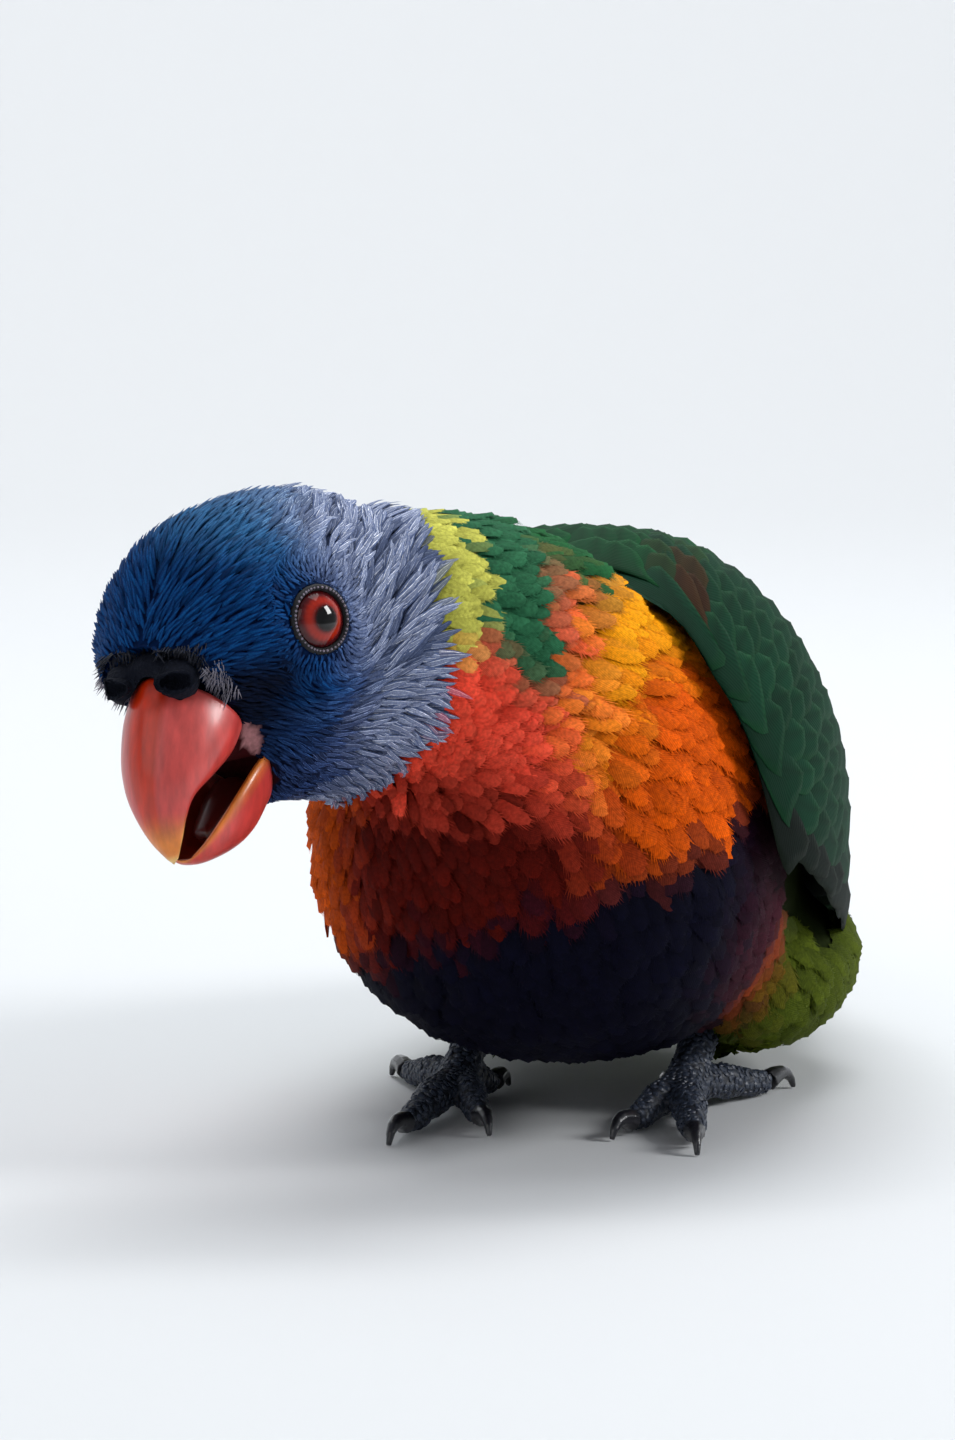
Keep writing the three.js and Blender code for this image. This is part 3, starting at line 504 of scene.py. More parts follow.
def plumage_material(name, roughness, grain_mm, barbs=0.0):
    """Matt grown keratin, a little uneven in tone and darker in the grooves between its barbs."""
    made, tree, shader = new_material(name, Roughness=roughness)
    shader.inputs["Specular IOR Level"].default_value = 0.05
    place = add_node(tree, "ShaderNodeTexCoord").outputs["Object"]
    grain = add_node(tree, "ShaderNodeTexNoise", Vector=place, Scale=1 / (grain_mm * MM), Detail=2.0)
    span = add_node(tree, "ShaderNodeMapRange", i0=grain.outputs["Fac"], i1=0.3, i2=0.7, i3=0.75, i4=1.2)
    shade = span.outputs["Result"]
    if barbs:
        run = barb_place(tree, BODY_BARB_SLANT)
        wave = add_node(tree, "ShaderNodeMath", {"operation": "MULTIPLY"}, i0=run, i1=barbs * 2 * math.pi)
        ripple = add_node(tree, "ShaderNodeMath", {"operation": "SINE"}, i0=wave.outputs["Value"])
        height = ripple.outputs["Value"]
        groove = add_node(tree, "ShaderNodeMapRange", i0=height, i1=-1.0, i2=1.0, i3=0.84, i4=1.05)
        grooved = groove.outputs["Result"]
        both = add_node(tree, "ShaderNodeMath", {"operation": "MULTIPLY"}, i0=grooved, i1=shade)
        shade = both.outputs["Value"]
        bump = add_node(tree, "ShaderNodeBump", Height=height, Strength=0.15, Distance=0.1 * MM)
        tree.links.new(bump.outputs["Normal"], shader.inputs["Normal"])
    tint(tree, shader, shade)
    return made


# Down is matt and soft. Its colour is the feathers' own made darker: partly the down's duller tone and
# partly painted shade for the gaps between the feathers
DOWN_SHADE, BODY_BARB_SLANT = 0.45, -0.45
down = plumage_material("matt_down", 0.85, 0.6)
skin.data.materials.clear()
skin.data.materials.append(down)
skin_web = markings(skin_points)[0] * DOWN_SHADE
skin_web[at_gape(skin_points)] = GAPE[0]
skin_web[in_mouth(skin_points)] = MOUTH[0]
colour_layer(skin, skin_web)

bpy.context.view_layer.objects.active = skin
skin.select_set(True)
bpy.ops.object.mode_set(mode="EDIT")
bpy.ops.mesh.select_all(action="SELECT")
bpy.ops.uv.smart_project(angle_limit=1.15, island_margin=0.002)
bpy.ops.object.mode_set(mode="OBJECT")
skin.select_set(False)
skin.data.uv_layers[0].name = "OFBake"
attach(skin, "root")
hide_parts(*FLESH)

# Small feathers
# Thousands of small feathers of keratin, grown from roots in the skin and lying back along the bird. The
# hood's are narrow and pointed with a bright shaft, and the body's rounded with a frayed rim.
SEED, ROOT_TRIES = 11, 3.2
HUG_STEPS = np.array([0.0, 0.34, 0.67, 1.0])
PATCH = 0.0024
rng = np.random.default_rng(SEED)


def triangles_of(obj):
    """The corners of each triangle of a mesh, as vertices and as loops."""
    obj.data.calc_loop_triangles()
    return [field_of(obj.data.loop_triangles, field, 3, np.int32) for field in ("vertices", "loops")]


skin_normals = normals_of(skin)
skin_tris, skin_loops = triangles_of(skin)
skin_uv = field_of(skin.data.uv_layers["OFBake"].data, "uv", 2)
skin_tree = BVHTree.FromPolygons(skin_points.tolist(), skin_tris.tolist())


def scatter(share, spacing_of, most):
    """Roots spread evenly over the skin, no nearer than the spacing there, on the faces share picks."""
    a, b, c = (skin_points[skin_tris[:, k]] for k in range(3))
    middle = (a + b + c) / 3
    gap = spacing_of(middle)
    area = np.linalg.norm(np.cross(b - a, c - a), axis=1) / 2
    weight = area / gap**2 * share(middle)
    count = min(int(weight.sum() * ROOT_TRIES), most)
    picked = rng.choice(len(area), count, p=weight / weight.sum())
    r1, r2 = np.sqrt(rng.random(count)), rng.random(count)
    bary = np.stack([1 - r1, r1 * (1 - r2), r1 * r2], -1)
    points = np.einsum("nk,nkd->nd", bary, skin_points[skin_tris[picked]])
    normals = unit(np.einsum("nk,nkd->nd", bary, skin_normals[skin_tris[picked]]))
    uv = np.einsum("nk,nkd->nd", bary, skin_uv[skin_loops[picked]])
    room = spacing_of(points)
    tree = KDTree(count)
    for i, p in enumerate(points):
        tree.insert(p, i)
    tree.balance()
    gone = np.zeros(count, bool)
    kept = []
    for i in range(count):
        if gone[i]:
            continue
        kept.append(i)
        for _, j, _ in tree.find_range(points[i], room[i]):
            gone[j] = True
    kept = np.array(kept)
    return points[kept], normals[kept], uv[kept]


def lie(points, normals):
    """The way the feathers point: back from the bill over the head, then down the breast and the back."""
    f, l, u = to_head(points)
    rise = 0.6 * smooth(f, 1, -6) * smooth(u, -9, 3) - 0.55 * smooth(u, -3, -10) * smooth(f, -5, 4)
    hood_way = -head_f[None] + head_u * rise[:, None]
    hood_way = hood_way + head_l * (np.sign(l) * 0.25 * smooth(f, 0, 14))[:, None]
    for side in (1, -1):
        away = points - eye_centre(side)
        close = smooth(np.linalg.norm(away, axis=1), 8.5, 5.0) * (l * side > 0)
        hood_way = mix(hood_way, unit(away), close[:, None])
    body_way = np.broadcast_to(np.array([-0.04, 1.0, -0.85]), points.shape)
    along_neck = neck_share(points)
    way = mix(unit(body_way), -neck_line[None], smooth(along_neck, 0.25, 0.58)[:, None])
    way = mix(way, unit(hood_way), smooth(along_neck, 0.6, 0.86)[:, None])
    way = way - normals * np.sum(way * normals, -1, keepdims=True)
    return unit(way)


def hugging(tree, roots, ways, lengths):
    """Places on the skin under each feather, from its root to its tip, with the skin's normals there."""
    places = np.empty((len(roots), len(HUG_STEPS), 3))
    outs = np.empty_like(places)
    for i, (root, way, length) in enumerate(zip(roots, ways, lengths)):
        for k, step in enumerate(HUG_STEPS):
            hit = tree.find_nearest(root + way * length * step)
            places[i, k] = hit[0]
            outs[i, k] = hit[1]
    return places, outs


def feather_piece(name, points, faces, tones, patches, webs, material):
    """Feathers as one mesh, with their colours, the map they are baked by and the map along each web."""
    obj = new_mesh(name, points, [faces])
    colour_layer(obj, tones)
    for label, values in (("OFBake", patches), ("web", webs)):
        layer = obj.data.uv_layers.new(name=label)
        layer.data.foreach_set("uv", values[faces.ravel()].astype(np.float32).ravel())
    obj.data.uv_layers["OFBake"].active_render = True
    obj.data.materials.append(material)
    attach(obj, "root")
    return obj


def grow_feathers(name, part, roots, uvs, ways, sizes, tones, templates, material):
    """One piece of many small feathers, each a copy of one of a few templates, laid over the skin."""
    roots, uvs, ways = roots[part], uvs[part], ways[part]
    lengths, widths, lifts = (size[part] for size in sizes)
    webs, shafts = (tone[part] for tone in tones)
    places, outs = hugging(skin_tree, roots, ways, lengths)
    choice = rng.integers(0, len(templates), len(roots))
    parts = []
    base = 0
    for number, template in enumerate(templates):
        chosen = np.nonzero(choice == number)[0]
        if not len(chosen):
            continue
        s, w, c, shaft, faces = template
        cell = np.clip(np.searchsorted(HUG_STEPS, s, side="right") - 1, 0, len(HUG_STEPS) - 2)
        t = ((s - HUG_STEPS[cell]) / (HUG_STEPS[cell + 1] - HUG_STEPS[cell]))[None, :, None]
        at = mix(places[chosen][:, cell], places[chosen][:, cell + 1], t)
        out = unit(mix(outs[chosen][:, cell], outs[chosen][:, cell + 1], t))
        step = places[chosen][:, cell + 1] - places[chosen][:, cell]
        ahead = unit(step + ways[chosen][:, None] * 0.01)
        across = unit(np.cross(out, ahead))
        wide = widths[chosen][:, None]
        height = lifts[chosen][:, None] * (0.12 + 0.88 * np.sqrt(s))[None] + c[None] * wide
        points = at + across * (w[None] * wide / 2)[..., None] + out * height[..., None]
        tone = mix(webs[chosen][:, None], shafts[chosen][:, None], shaft[None, :, None])
        patch = np.stack([w * PATCH / 2, (s - 0.5) * PATCH], -1)[None] + uvs[chosen][:, None]
        shifted = faces[None] + (np.arange(len(chosen)) * len(s) + base)[:, None, None]
        web_at = np.broadcast_to(np.stack([w, s], -1), (len(chosen), len(s), 2))
        made = (points, tone, patch, web_at, shifted)
        parts.append([value.reshape(-1, value.shape[-1]) for value in made])
        base += len(chosen) * len(s)
    points, tones, patches, webs_at, faces = (np.concatenate(values) for values in zip(*parts))
    return feather_piece(name, points, faces, tones, patches, webs_at, material)


def blade_template(halves, streak, glow, wave):
    """A narrow pointed feather with a bright raised streak along its shaft, as rows of half widths."""
    rows = (0.0, 0.3, 0.62, 0.86)
    s, w, c, shaft, faces = [], [], [], [], []

    def strip(columns, widths, height, tones):
        first = len(s)
        for row, half in zip(rows, widths):
            for column in columns:
                s.append(row)
                w.append(column * half + wave * math.sin(row * 3))
                c.append(height * (1 - abs(column) * 0.8) - 0.05 * (1 - height * 4))
                shaft.append(tones[0] if abs(column) > 0.5 and len(columns) > 2 else tones[1])
        s.append(1.0)
        w.append(wave * math.sin(3))
        c.append(0.0)
        shaft.append(tones[1])
        n = len(columns)
        for i in range(len(rows) - 1):
            for j in range(n - 1):
                a = first + i * n + j
                faces.extend([(a, a + 1, a + n + 1), (a, a + n + 1, a + n)])
        last = first + (len(rows) - 1) * n
        faces.extend([(last + j, last + j + 1, last + n) for j in range(n - 1)])

    strip((-1, 0, 1), halves, 0.1, (0.0, 0.22 * glow))
    strip((-1, 1), [half * streak for half in halves], 0.2, (glow, glow))
    return [np.array(k, float) for k in (s, w, c, shaft)] + [np.array(faces)]


def rounded_template(seed):
    """A rounded body feather: a cupped web whose rim frays into loose barbs."""
    draw = np.random.default_rng(seed)
    rows = (0.0, 0.3, 0.58, 0.8, 0.9)
    halves = (0.42, 0.86, 1.0, 0.74, 0.3)
    s, w, c, shaft, faces = [], [], [], [], []
    for row, half in zip(rows, halves):
        for column in (-1, 0, 1):
            s.append(row)
            w.append(column * half * (1 + 0.06 * draw.normal()))
            c.append(-0.09 * abs(column) + 0.02)
            shaft.append(0.3 + 0.55 * row + 0.15 * (1 - abs(column)) * row)
    for i in range(len(rows) - 1):
        for j in range(2):
            a = i * 3 + j
            faces += [(a, a + 1, a + 4), (a, a + 4, a + 3)]
    # Loose barbs along the rim
    barbs = 17
    for k in range(barbs):
        turn = mix(-1.75, 1.75, (k + 0.5) / barbs) + 0.06 * draw.normal()
        root_s, root_w = 0.6 + 0.24 * math.cos(turn), 0.9 * math.sin(turn)
        out = 1.1 + 0.5 * draw.random()
        tip_s = min(1.0, 0.6 + 0.33 * math.cos(turn * 0.93) * out + 0.05)
        tip_w = 0.93 * math.sin(turn * 0.93) * out
        first = len(s)
        half = 0.065
        for step in (-1, 1):
            s.append(root_s - step * half * 0.3 * math.sin(turn))
            w.append(root_w + step * half * math.cos(turn))
            c.append(-0.05)
            shaft.append(0.7)
        s.append(tip_s)
        w.append(tip_w)
        c.append(-0.12 - 0.05 * draw.random())
        shaft.append(1.0)
        faces.append((first, first + 1, first + 2))
    return [np.array(k, float) for k in (s, w, c, shaft)] + [np.array(faces)]


EYE_FORWARD, EYE_UP, LID_EDGE = 20.0, 4.0, 3.75


def eye_axis(side):
    """The way an eye looks: out, and a little forward and up."""
    forward, up_part = math.sin(math.radians(EYE_FORWARD)), math.sin(math.radians(EYE_UP))
    out = math.sqrt(1 - forward * forward - up_part * up_part) * side
    return forward * head_f + out * head_l + up_part * head_u


def solid_tree(node):
    """One of the body's solids, ready for finding what lies over or near it."""
    copy = node_copy(node)
    corners, _ = triangles_of(copy)
    tree = BVHTree.FromPolygons(vertices_of(copy).tolist(), corners.tolist())
    bpy.data.objects.remove(copy)
    return tree


WING_BEND_LEFT, WING_BEND_RIGHT, WING_REACH, BILL_GAP = -17.0, -2.0, 7.0, 0.5
wing_trees = [solid_tree(node) for node in ("wing_left", "wing_right")]
bill_trees = [solid_tree(node) for node in ("bill_upper", "bill_lower")]


def uncovered(points, normals):
    """True where no wing lies over the skin, and the place isn't in the mouth, an eye or the bill."""
    clear = ~in_mouth(points) & ~at_gape(points)
    for side in (1, -1):
        out = points - eye_centre(side)
        forward = out @ eye_axis(side)
        beside = np.linalg.norm(out - forward[:, None] * eye_axis(side), axis=1)
        clear &= (beside > LID_EDGE) | (forward < 0)
    for i in np.nonzero(clear)[0]:
        behind_bend = points[i, 1] > (WING_BEND_LEFT if points[i, 0] > 0 else WING_BEND_RIGHT)
        start = points[i] + normals[i] * 0.5
        over = [tree.ray_cast(start, normals[i], WING_REACH)[0] for tree in wing_trees if behind_bend]
        over += [tree.find_nearest(points[i], BILL_GAP)[0] for tree in bill_trees]
        clear[i] = all(hit is None for hit in over)
    return clear


def varied(colours, amount):
    """Each feather a little lighter or darker than its neighbours."""
    return colours * np.exp(rng.normal(0, amount, (len(colours), 1)))


# Hood feathers are smooth and silky. Body feathers are softer and duller, with grooves between their
# barbs that are drawn wider than real so that they show
hood_plumage = plumage_material("silky_blue_hood_feather", 0.6, 0.2)
body_plumage = plumage_material("soft_contour_feather", 0.7, 0.4, barbs=13.0)
HOOD_SPACING, FACE_SPACING, HOOD_MOST = 0.52, 0.36, 110000


def hood_spacing(points):
    return mix(FACE_SPACING, HOOD_SPACING, smooth(face_distance(points), 0, 7))


def hood_share(points):
    return (neck_share(points) > hood_border(to_head(points)[2])).astype(float)


def lock_wave(f, l, u):
    """Long wavy locks on the cheek: 1 on a lock and -1 in the dark gap between two."""
    phase = 1.95 * (u + 0.5 * f) + 1.3 * np.sin(0.45 * f + 0.2 * l) + 1.0 * np.sin(0.75 * u - 0.3 * f)
    return np.sin(phase) * (0.65 + 0.35 * np.sin(0.6 * f - 0.9 * u + 0.4 * l))


roots, outs, uvs = scatter(hood_share, hood_spacing, HOOD_MOST)
clear = uncovered(roots, outs)
roots, outs, uvs = roots[clear], outs[clear], uvs[clear]
webs, shafts = markings(roots)
head_f_at, head_l_at, head_u_at = to_head(roots)
on_cheek = cheek_share(head_f_at, head_u_at) * smooth(face_distance(roots), 0.3, 4)
near = smooth(face_distance(roots), 0, 8)
lock = lock_wave(head_f_at, head_l_at, head_u_at)
lengths = mix(1.1, mix(3.4, 4.6, on_cheek), near) * rng.uniform(0.8, 1.2, len(roots))
widths = mix(0.4, mix(0.62, 0.85, on_cheek), near) * rng.uniform(0.8, 1.2, len(roots))
lifts = coat_depth(roots) * (rng.uniform(0.6, 1.0, len(roots)) + 0.45 * lock * on_cheek)
ways = lie(roots, outs)
lean = (0.3 * on_cheek * np.cos(1.95 * (head_u_at + 0.5 * head_f_at)))[:, None] * np.cross(outs, ways)
ways = unit(ways + lean + rng.normal(0, 0.09, roots.shape))
# Feathers in the gaps between the cheek's locks are painted darker, as the shade in those gaps
gap = np.clip(0.45 - 0.9 * lock, 0, 1) * on_cheek
bright = np.exp(rng.normal(-0.15, 0.55, len(roots)))
keep = (mix(1.0, 0.09, np.clip(gap, 0, 1)) * np.clip(mix(bright, 1, 0.5 * on_cheek), 0.1, 1.3))[:, None]
webs, shafts = webs * mix(0.4, 1.0, np.clip(keep, 0, 1)), mix(webs * 0.8, shafts, keep)
cheek_like = on_cheek > rng.random(len(roots))
crown_blades = [blade_template((0.5, 1.0, 0.8, 0.4), 0.3, *bend) for bend in ((1, 0.1), (0.85, -0.1))]
cheek_blades = [blade_template((0.5, 1.0, 0.85, 0.45), 0.6, *bend) for bend in ((1, 0.18), (0.9, -0.18))]
in_front, at_back = head_f_at > 7, head_f_at <= -1
hood_parts = (
    ("crown_feathers_front", ~cheek_like & in_front, crown_blades),
    ("crown_feathers_middle", ~cheek_like & ~in_front & ~at_back, crown_blades),
    ("crown_feathers_back", ~cheek_like & at_back, crown_blades),
    ("cheek_feathers_left", cheek_like & (head_l_at > 0), cheek_blades),
    ("cheek_feathers_right", cheek_like & (head_l_at <= 0), cheek_blades),
)
sizes = lengths, widths, lifts
for name, part, blades in hood_parts:
    piece = grow_feathers(name, part, roots, uvs, ways, sizes, (webs, shafts), blades, hood_plumage)

BODY_SPACING, NECK_SPACING, BODY_MOST = 1.02, 0.76, 120000
HOOD_OVERLAP, SKIRT_END, TEMPLATES = 0.022, 112, 6


def body_spacing(points):
    return mix(BODY_SPACING, NECK_SPACING, smooth(neck_share(points), 0.25, 0.62))


def body_share(points):
    below_hood = neck_share(points) < hood_border(to_head(points)[2]) - HOOD_OVERLAP
    return below_hood.astype(float) * (points[:, 1] < SKIRT_END)


roots, outs, uvs = scatter(body_share, body_spacing, BODY_MOST)
clear = uncovered(roots, outs)
roots, outs, uvs = roots[clear], outs[clear], uvs[clear]
# Each feather takes its colour from a place a little off its root, so that colours have ragged borders
RAGGED = 0.8
colour_at = roots + rng.normal(0, RAGGED, roots.shape)
in_hood = neck_share(colour_at) > hood_border(to_head(colour_at)[2]) - HOOD_OVERLAP
colour_at[in_hood] = roots[in_hood]
webs, shafts = markings(colour_at)
small = smooth(neck_share(roots), 0.2, 0.6)
lengths = mix(7.0, 4.6, small) * rng.uniform(0.85, 1.15, len(roots))
widths = mix(2.9, 1.9, small) * rng.uniform(0.85, 1.15, len(roots))
lifts = coat_depth(roots) * rng.uniform(0.5, 0.95, len(roots))
ways = unit(lie(roots, outs) + rng.normal(0, 0.11, roots.shape))
webs, shafts = varied(webs, 0.08), varied(shafts, 0.1)
rounded = [rounded_template(seed) for seed in range(TEMPLATES)]
sizes = lengths, widths, lifts
bands = {
    "neck_feathers": (-60, -36),
    "breast_feathers": (-36, -8),
    "belly_feathers": (-8, 30),
    "rump_feathers": (30, 120),
}
for name, (start, end) in bands.items():
    part = (roots[:, 1] >= start) & (roots[:, 1] < end)
    piece = grow_feathers(name, part, roots, uvs, ways, sizes, (webs, shafts), rounded, body_plumage)

# Wings
# Folded wings of stiff keratin feathers that overlap in tiers: long primaries, secondaries, then coverts
# up to the bend, and scapulars over the seam with the back. Each is rooted in the wing's flesh.
WING_FRONT, WING_LENGTH = -28.0, 150.0
BEND_TRIM, RIGHT_TRIM, LEFT_TRIM = 0.045, 0.13, 0.03
WING_Y = np.array([-28.0, -24, -15, 0, 20, 45, 70, 98, 122])
WING_LOW = np.array([22.0, 8, -3, -12, -16, -16, -12, -2, 6])
WING_HIGH = np.array([40.0, 54, 70, 80, 84, 86, 86, 78, 50])
WING_GAP = 1.1
TAIL_TOP_Y, TAIL_ROOT_Y, TAIL_LENGTH, TAIL_PAIRS = 84.0, 86.0, 122.0, 6
PRIMARIES, SECONDARIES, SCAPULAR_ROWS, SCAPULARS_IN_ROW = 10, 9, 16, 7
COVERT_TIERS = (
    # how many, root, tip, width, lift at the root and at the tip, rows of faces
    (14, 0.25, 0.47, 9.0, 1.0, 1.8, 16),
    (15, 0.17, 0.35, 7.6, 1.0, 2.0, 12),
    (16, 0.125, 0.27, 6.4, 0.9, 2.1, 10),
    (16, 0.09, 0.21, 5.6, 0.8, 2.2, 10),
    (15, 0.06, 0.16, 5.0, 0.7, 2.2, 9),
    (13, 0.03, 0.115, 4.6, 0.6, 2.1, 9),
    (10, 0.0, 0.075, 4.2, 0.4, 1.9, 9),
    (6, -0.03, 0.04, 4.0, 0.2, 1.7, 9),
)


def tail_middle(t):
    """The line of the tail's middle, from its root to its tip."""
    y = TAIL_ROOT_Y + t * TAIL_LENGTH
    z = 1.6 + 11.5 * np.maximum(0, 1 - smooth(t, -0.25, 0.85)) ** 1.35
    return np.stack([sway(TAIL_ROOT_Y) - t * t * 14 - t * 4, y, z], -1)


def tail_top(offset, y):
    """The height of the folded tail, on which the wing tips lie."""
    t = (y - TAIL_ROOT_Y) / TAIL_LENGTH
    layers = 0.34 * (TAIL_PAIRS - 1) * (1 - 0.55 * t) + 0.75
    return tail_middle(t)[..., 2] + layers - 0.018 * offset * offset * (1 - t)


def wing_point(side, p, q, height):
    """A place on the folded wing: p from the bend to the tip, q from the lower edge to the back."""
    tucked = RIGHT_TRIM * np.clip(1 - q, 0, 1) if side < 0 else LEFT_TRIM * smooth(q, 0.75, 1.0)
    trim = BEND_TRIM + tucked
    p = trim + p * (1 - trim)
    p, q, height = np.broadcast_arrays(p, q, height)
    y = WING_FRONT + p * WING_LENGTH
    angle = np.radians(mix(np.interp(y, WING_Y, WING_LOW), np.interp(y, WING_Y, WING_HIGH), q))
    at = np.minimum(y, 100)
    inner = trunk_point(at, angle, WING_GAP + height)
    hanging = trunk_point(at, np.zeros_like(angle), WING_GAP + height)[..., 0]
    x = np.where(angle < 0, hanging, inner[..., 0]) - sway(at)
    x = x * mix(1, 0.8, smooth(y, 100, 145)) * side
    z = inner[..., 2] - np.maximum(0, y - 100) * 0.12
    over = np.where(y > TAIL_TOP_Y, tail_top(x, y) + 1.1 + height, 0)
    z = np.maximum(np.maximum(z, over), 1.2 + height * 0.5)
    return np.stack([x + sway(y), y, z], -1)


def wing_girth(p):
    """How far it is round the body from the wing's lower edge to its upper one."""
    y = WING_FRONT + p * WING_LENGTH
    arc = np.radians(np.interp(y, WING_Y, WING_HIGH) - np.interp(y, WING_Y, WING_LOW))
    at = np.minimum(y, 100)
    around = along(TRUNK_W, at) + (along(TRUNK_TOP, at) - along(TRUNK_BOTTOM, at)) / 2
    return np.maximum(6, arc * 0.5 * around)


def vane(at, width, shaft_at, rows, columns, thick, tilt, seed, round_from=0.55):
    """A stiff feather: a thin cambered vane with a raised shaft, ragged edges and a rounded tip."""
    draw = np.random.default_rng(seed)
    t = np.linspace(0, 1, rows) ** 0.9
    j = np.linspace(-1, 1, columns)
    toward_tip = np.maximum(0, (t - round_from) / (1.001 - round_from))
    outline = np.sqrt(np.maximum(0.0, 1 - toward_tip**2.3)) * mix(0.6, 1, smooth(t, 0, 0.25))
    ragged = 1 + 0.03 * draw.normal(size=(rows, 2)) * smooth(t, 0.1, 0.4)[:, None]
    half = np.where(j[None] < 0, ragged[:, :1], ragged[:, 1:]) * outline[:, None] * width / 2
    across = j[None] * half + (shaft_at * width / 2) * (1 - np.abs(j[None])) * outline[:, None]
    camber = -0.10 * width * (j**2)[None] * 0.5
    height = camber * smooth(t, 0, 0.3)[:, None] + tilt * across / width
    points = []
    for layer in (1, -1):
        body = thick * layer * (1 - 0.8 * np.abs(j[None])) * mix(1, 0.5, t)[:, None] / 2
        points.append(at(np.broadcast_to(t[:, None], across.shape), across, height + body))
    points = np.stack(points)
    count = rows * columns
    top = ring_faces(rows, columns, closed=False)
    faces = [top, top[:, ::-1] + count]
    left = np.arange(rows) * columns
    root = np.arange(columns)
    tip = count - columns + root
    for rim in (left, (left + columns - 1)[::-1], root[::-1], tip):
        a, b = rim[:-1], rim[1:]
        faces.append(np.stack([a, b, b + count, a + count], -1))
    t_all = np.tile(np.repeat(t, columns), 2)
    j_all = np.tile(j, 2 * rows)
    return points.reshape(-1, 3), np.concatenate(faces), t_all, j_all


class Vanes:
    """Collects the vanes of one piece, with each one's colours and its own patch of the map."""

    def __init__(self, across_map):
        self.parts = []
        self.base = self.number = 0
        self.across_map = across_map

    def add(self, made, tone):
        points, faces, t, j = made
        cell = 1 / self.across_map
        corner = np.array([self.number % self.across_map, self.number // self.across_map]) * cell
        uv = corner + np.stack([(j + 1) / 2, t], -1) * cell * 0.9 + cell * 0.05
        self.parts.append((points, faces + self.base, tone(t, j), uv, np.stack([j, t], -1)))
        self.base += len(points)
        self.number += 1

    def piece(self, name, material, slot):
        points, faces, tones, uv, web = (np.concatenate(values) for values in zip(*self.parts))
        obj = feather_piece(name, points, faces, np.clip(tones, 0, 1), uv, web, material)
        return obj


def vane_material(name, roughness, barb_mm, length_mm):
    """Stiff grown keratin, dull, with slanting grooves between barbs that are drawn wider than real."""
    made, tree, shader = new_material(name, Roughness=roughness)
    shader.inputs["Specular IOR Level"].default_value = 0.04
    place = add_node(tree, "ShaderNodeCombineXYZ", X=barb_place(tree, VANE_BARB_SLANT))
    barbs = add_node(
        tree, "ShaderNodeTexWave", {"wave_type": "BANDS", "bands_direction": "X"},
        Vector=place.outputs["Vector"], Scale=length_mm / barb_mm / 6.28, Distortion=1.2, Detail=2.0,
        Detail_Scale=1.0,
    )
    span = add_node(tree, "ShaderNodeMapRange", i0=barbs.outputs["Fac"], i1=0.0, i2=1.0, i3=0.72, i4=1.12)
    tint(tree, shader, span.outputs["Result"])
    bump = add_node(tree, "ShaderNodeBump", Height=barbs.outputs["Fac"], Strength=0.25, Distance=0.1 * MM)
    tree.links.new(bump.outputs["Normal"], shader.inputs["Normal"])
    return made


VANE_BARB_SLANT = -0.16
WING_GREEN, WING_EDGE = linear("#082e1e"), linear("#1c4c2a")
WING_DARK, WING_BLUE = linear("#050e0e"), linear("#0a2c2e")
COVERT_GREEN = linear("#09301f")
SHAFT_TONE = linear("#101a12")


def flight_tone(base, edge, seed):
    """Colours of a flight feather: dark inner web, green outer web with a paler edge, dark shaft."""
    draw = np.random.default_rng(seed)
    shade = math.exp(draw.normal(0, 0.08))

    def tone(t, j):
        colour = mix(base, WING_DARK, (0.75 * smooth(j, -0.05, 0.5))[:, None])
        colour = mix(colour, edge, (0.8 * smooth(j, -0.72, -0.97))[:, None])
        colour = mix(colour, WING_DARK, (0.5 * smooth(t, 0.75, 1.0))[:, None])
        colour = mix(colour, SHAFT_TONE, smooth(np.abs(j), 0.09, 0.02)[:, None])
        return colour * shade

    return tone


def covert_tone(base, edge, seed):
    """Colours of a covert: green, darker at its root and shaft and paler round its rim."""
    draw = np.random.default_rng(seed)
    shade = math.exp(draw.normal(0, 0.1))

    def tone(t, j):
        rim = np.maximum(smooth(t, 0.8, 1.0), smooth(np.abs(j), 0.75, 1.0) * 0.7)
        colour = mix(mix(base * 0.72, base, smooth(t, 0.1, 0.7)[:, None]), edge, (0.55 * rim)[:, None])
        return mix(colour, base * 0.5, (0.6 * smooth(np.abs(j), 0.08, 0.02))[:, None]) * shade

    return tone


flight_web = vane_material("stiff_green_flight_feather", 0.6, 0.55, 90)
covert_web = vane_material("green_covert_feather", 0.65, 0.4, 16)


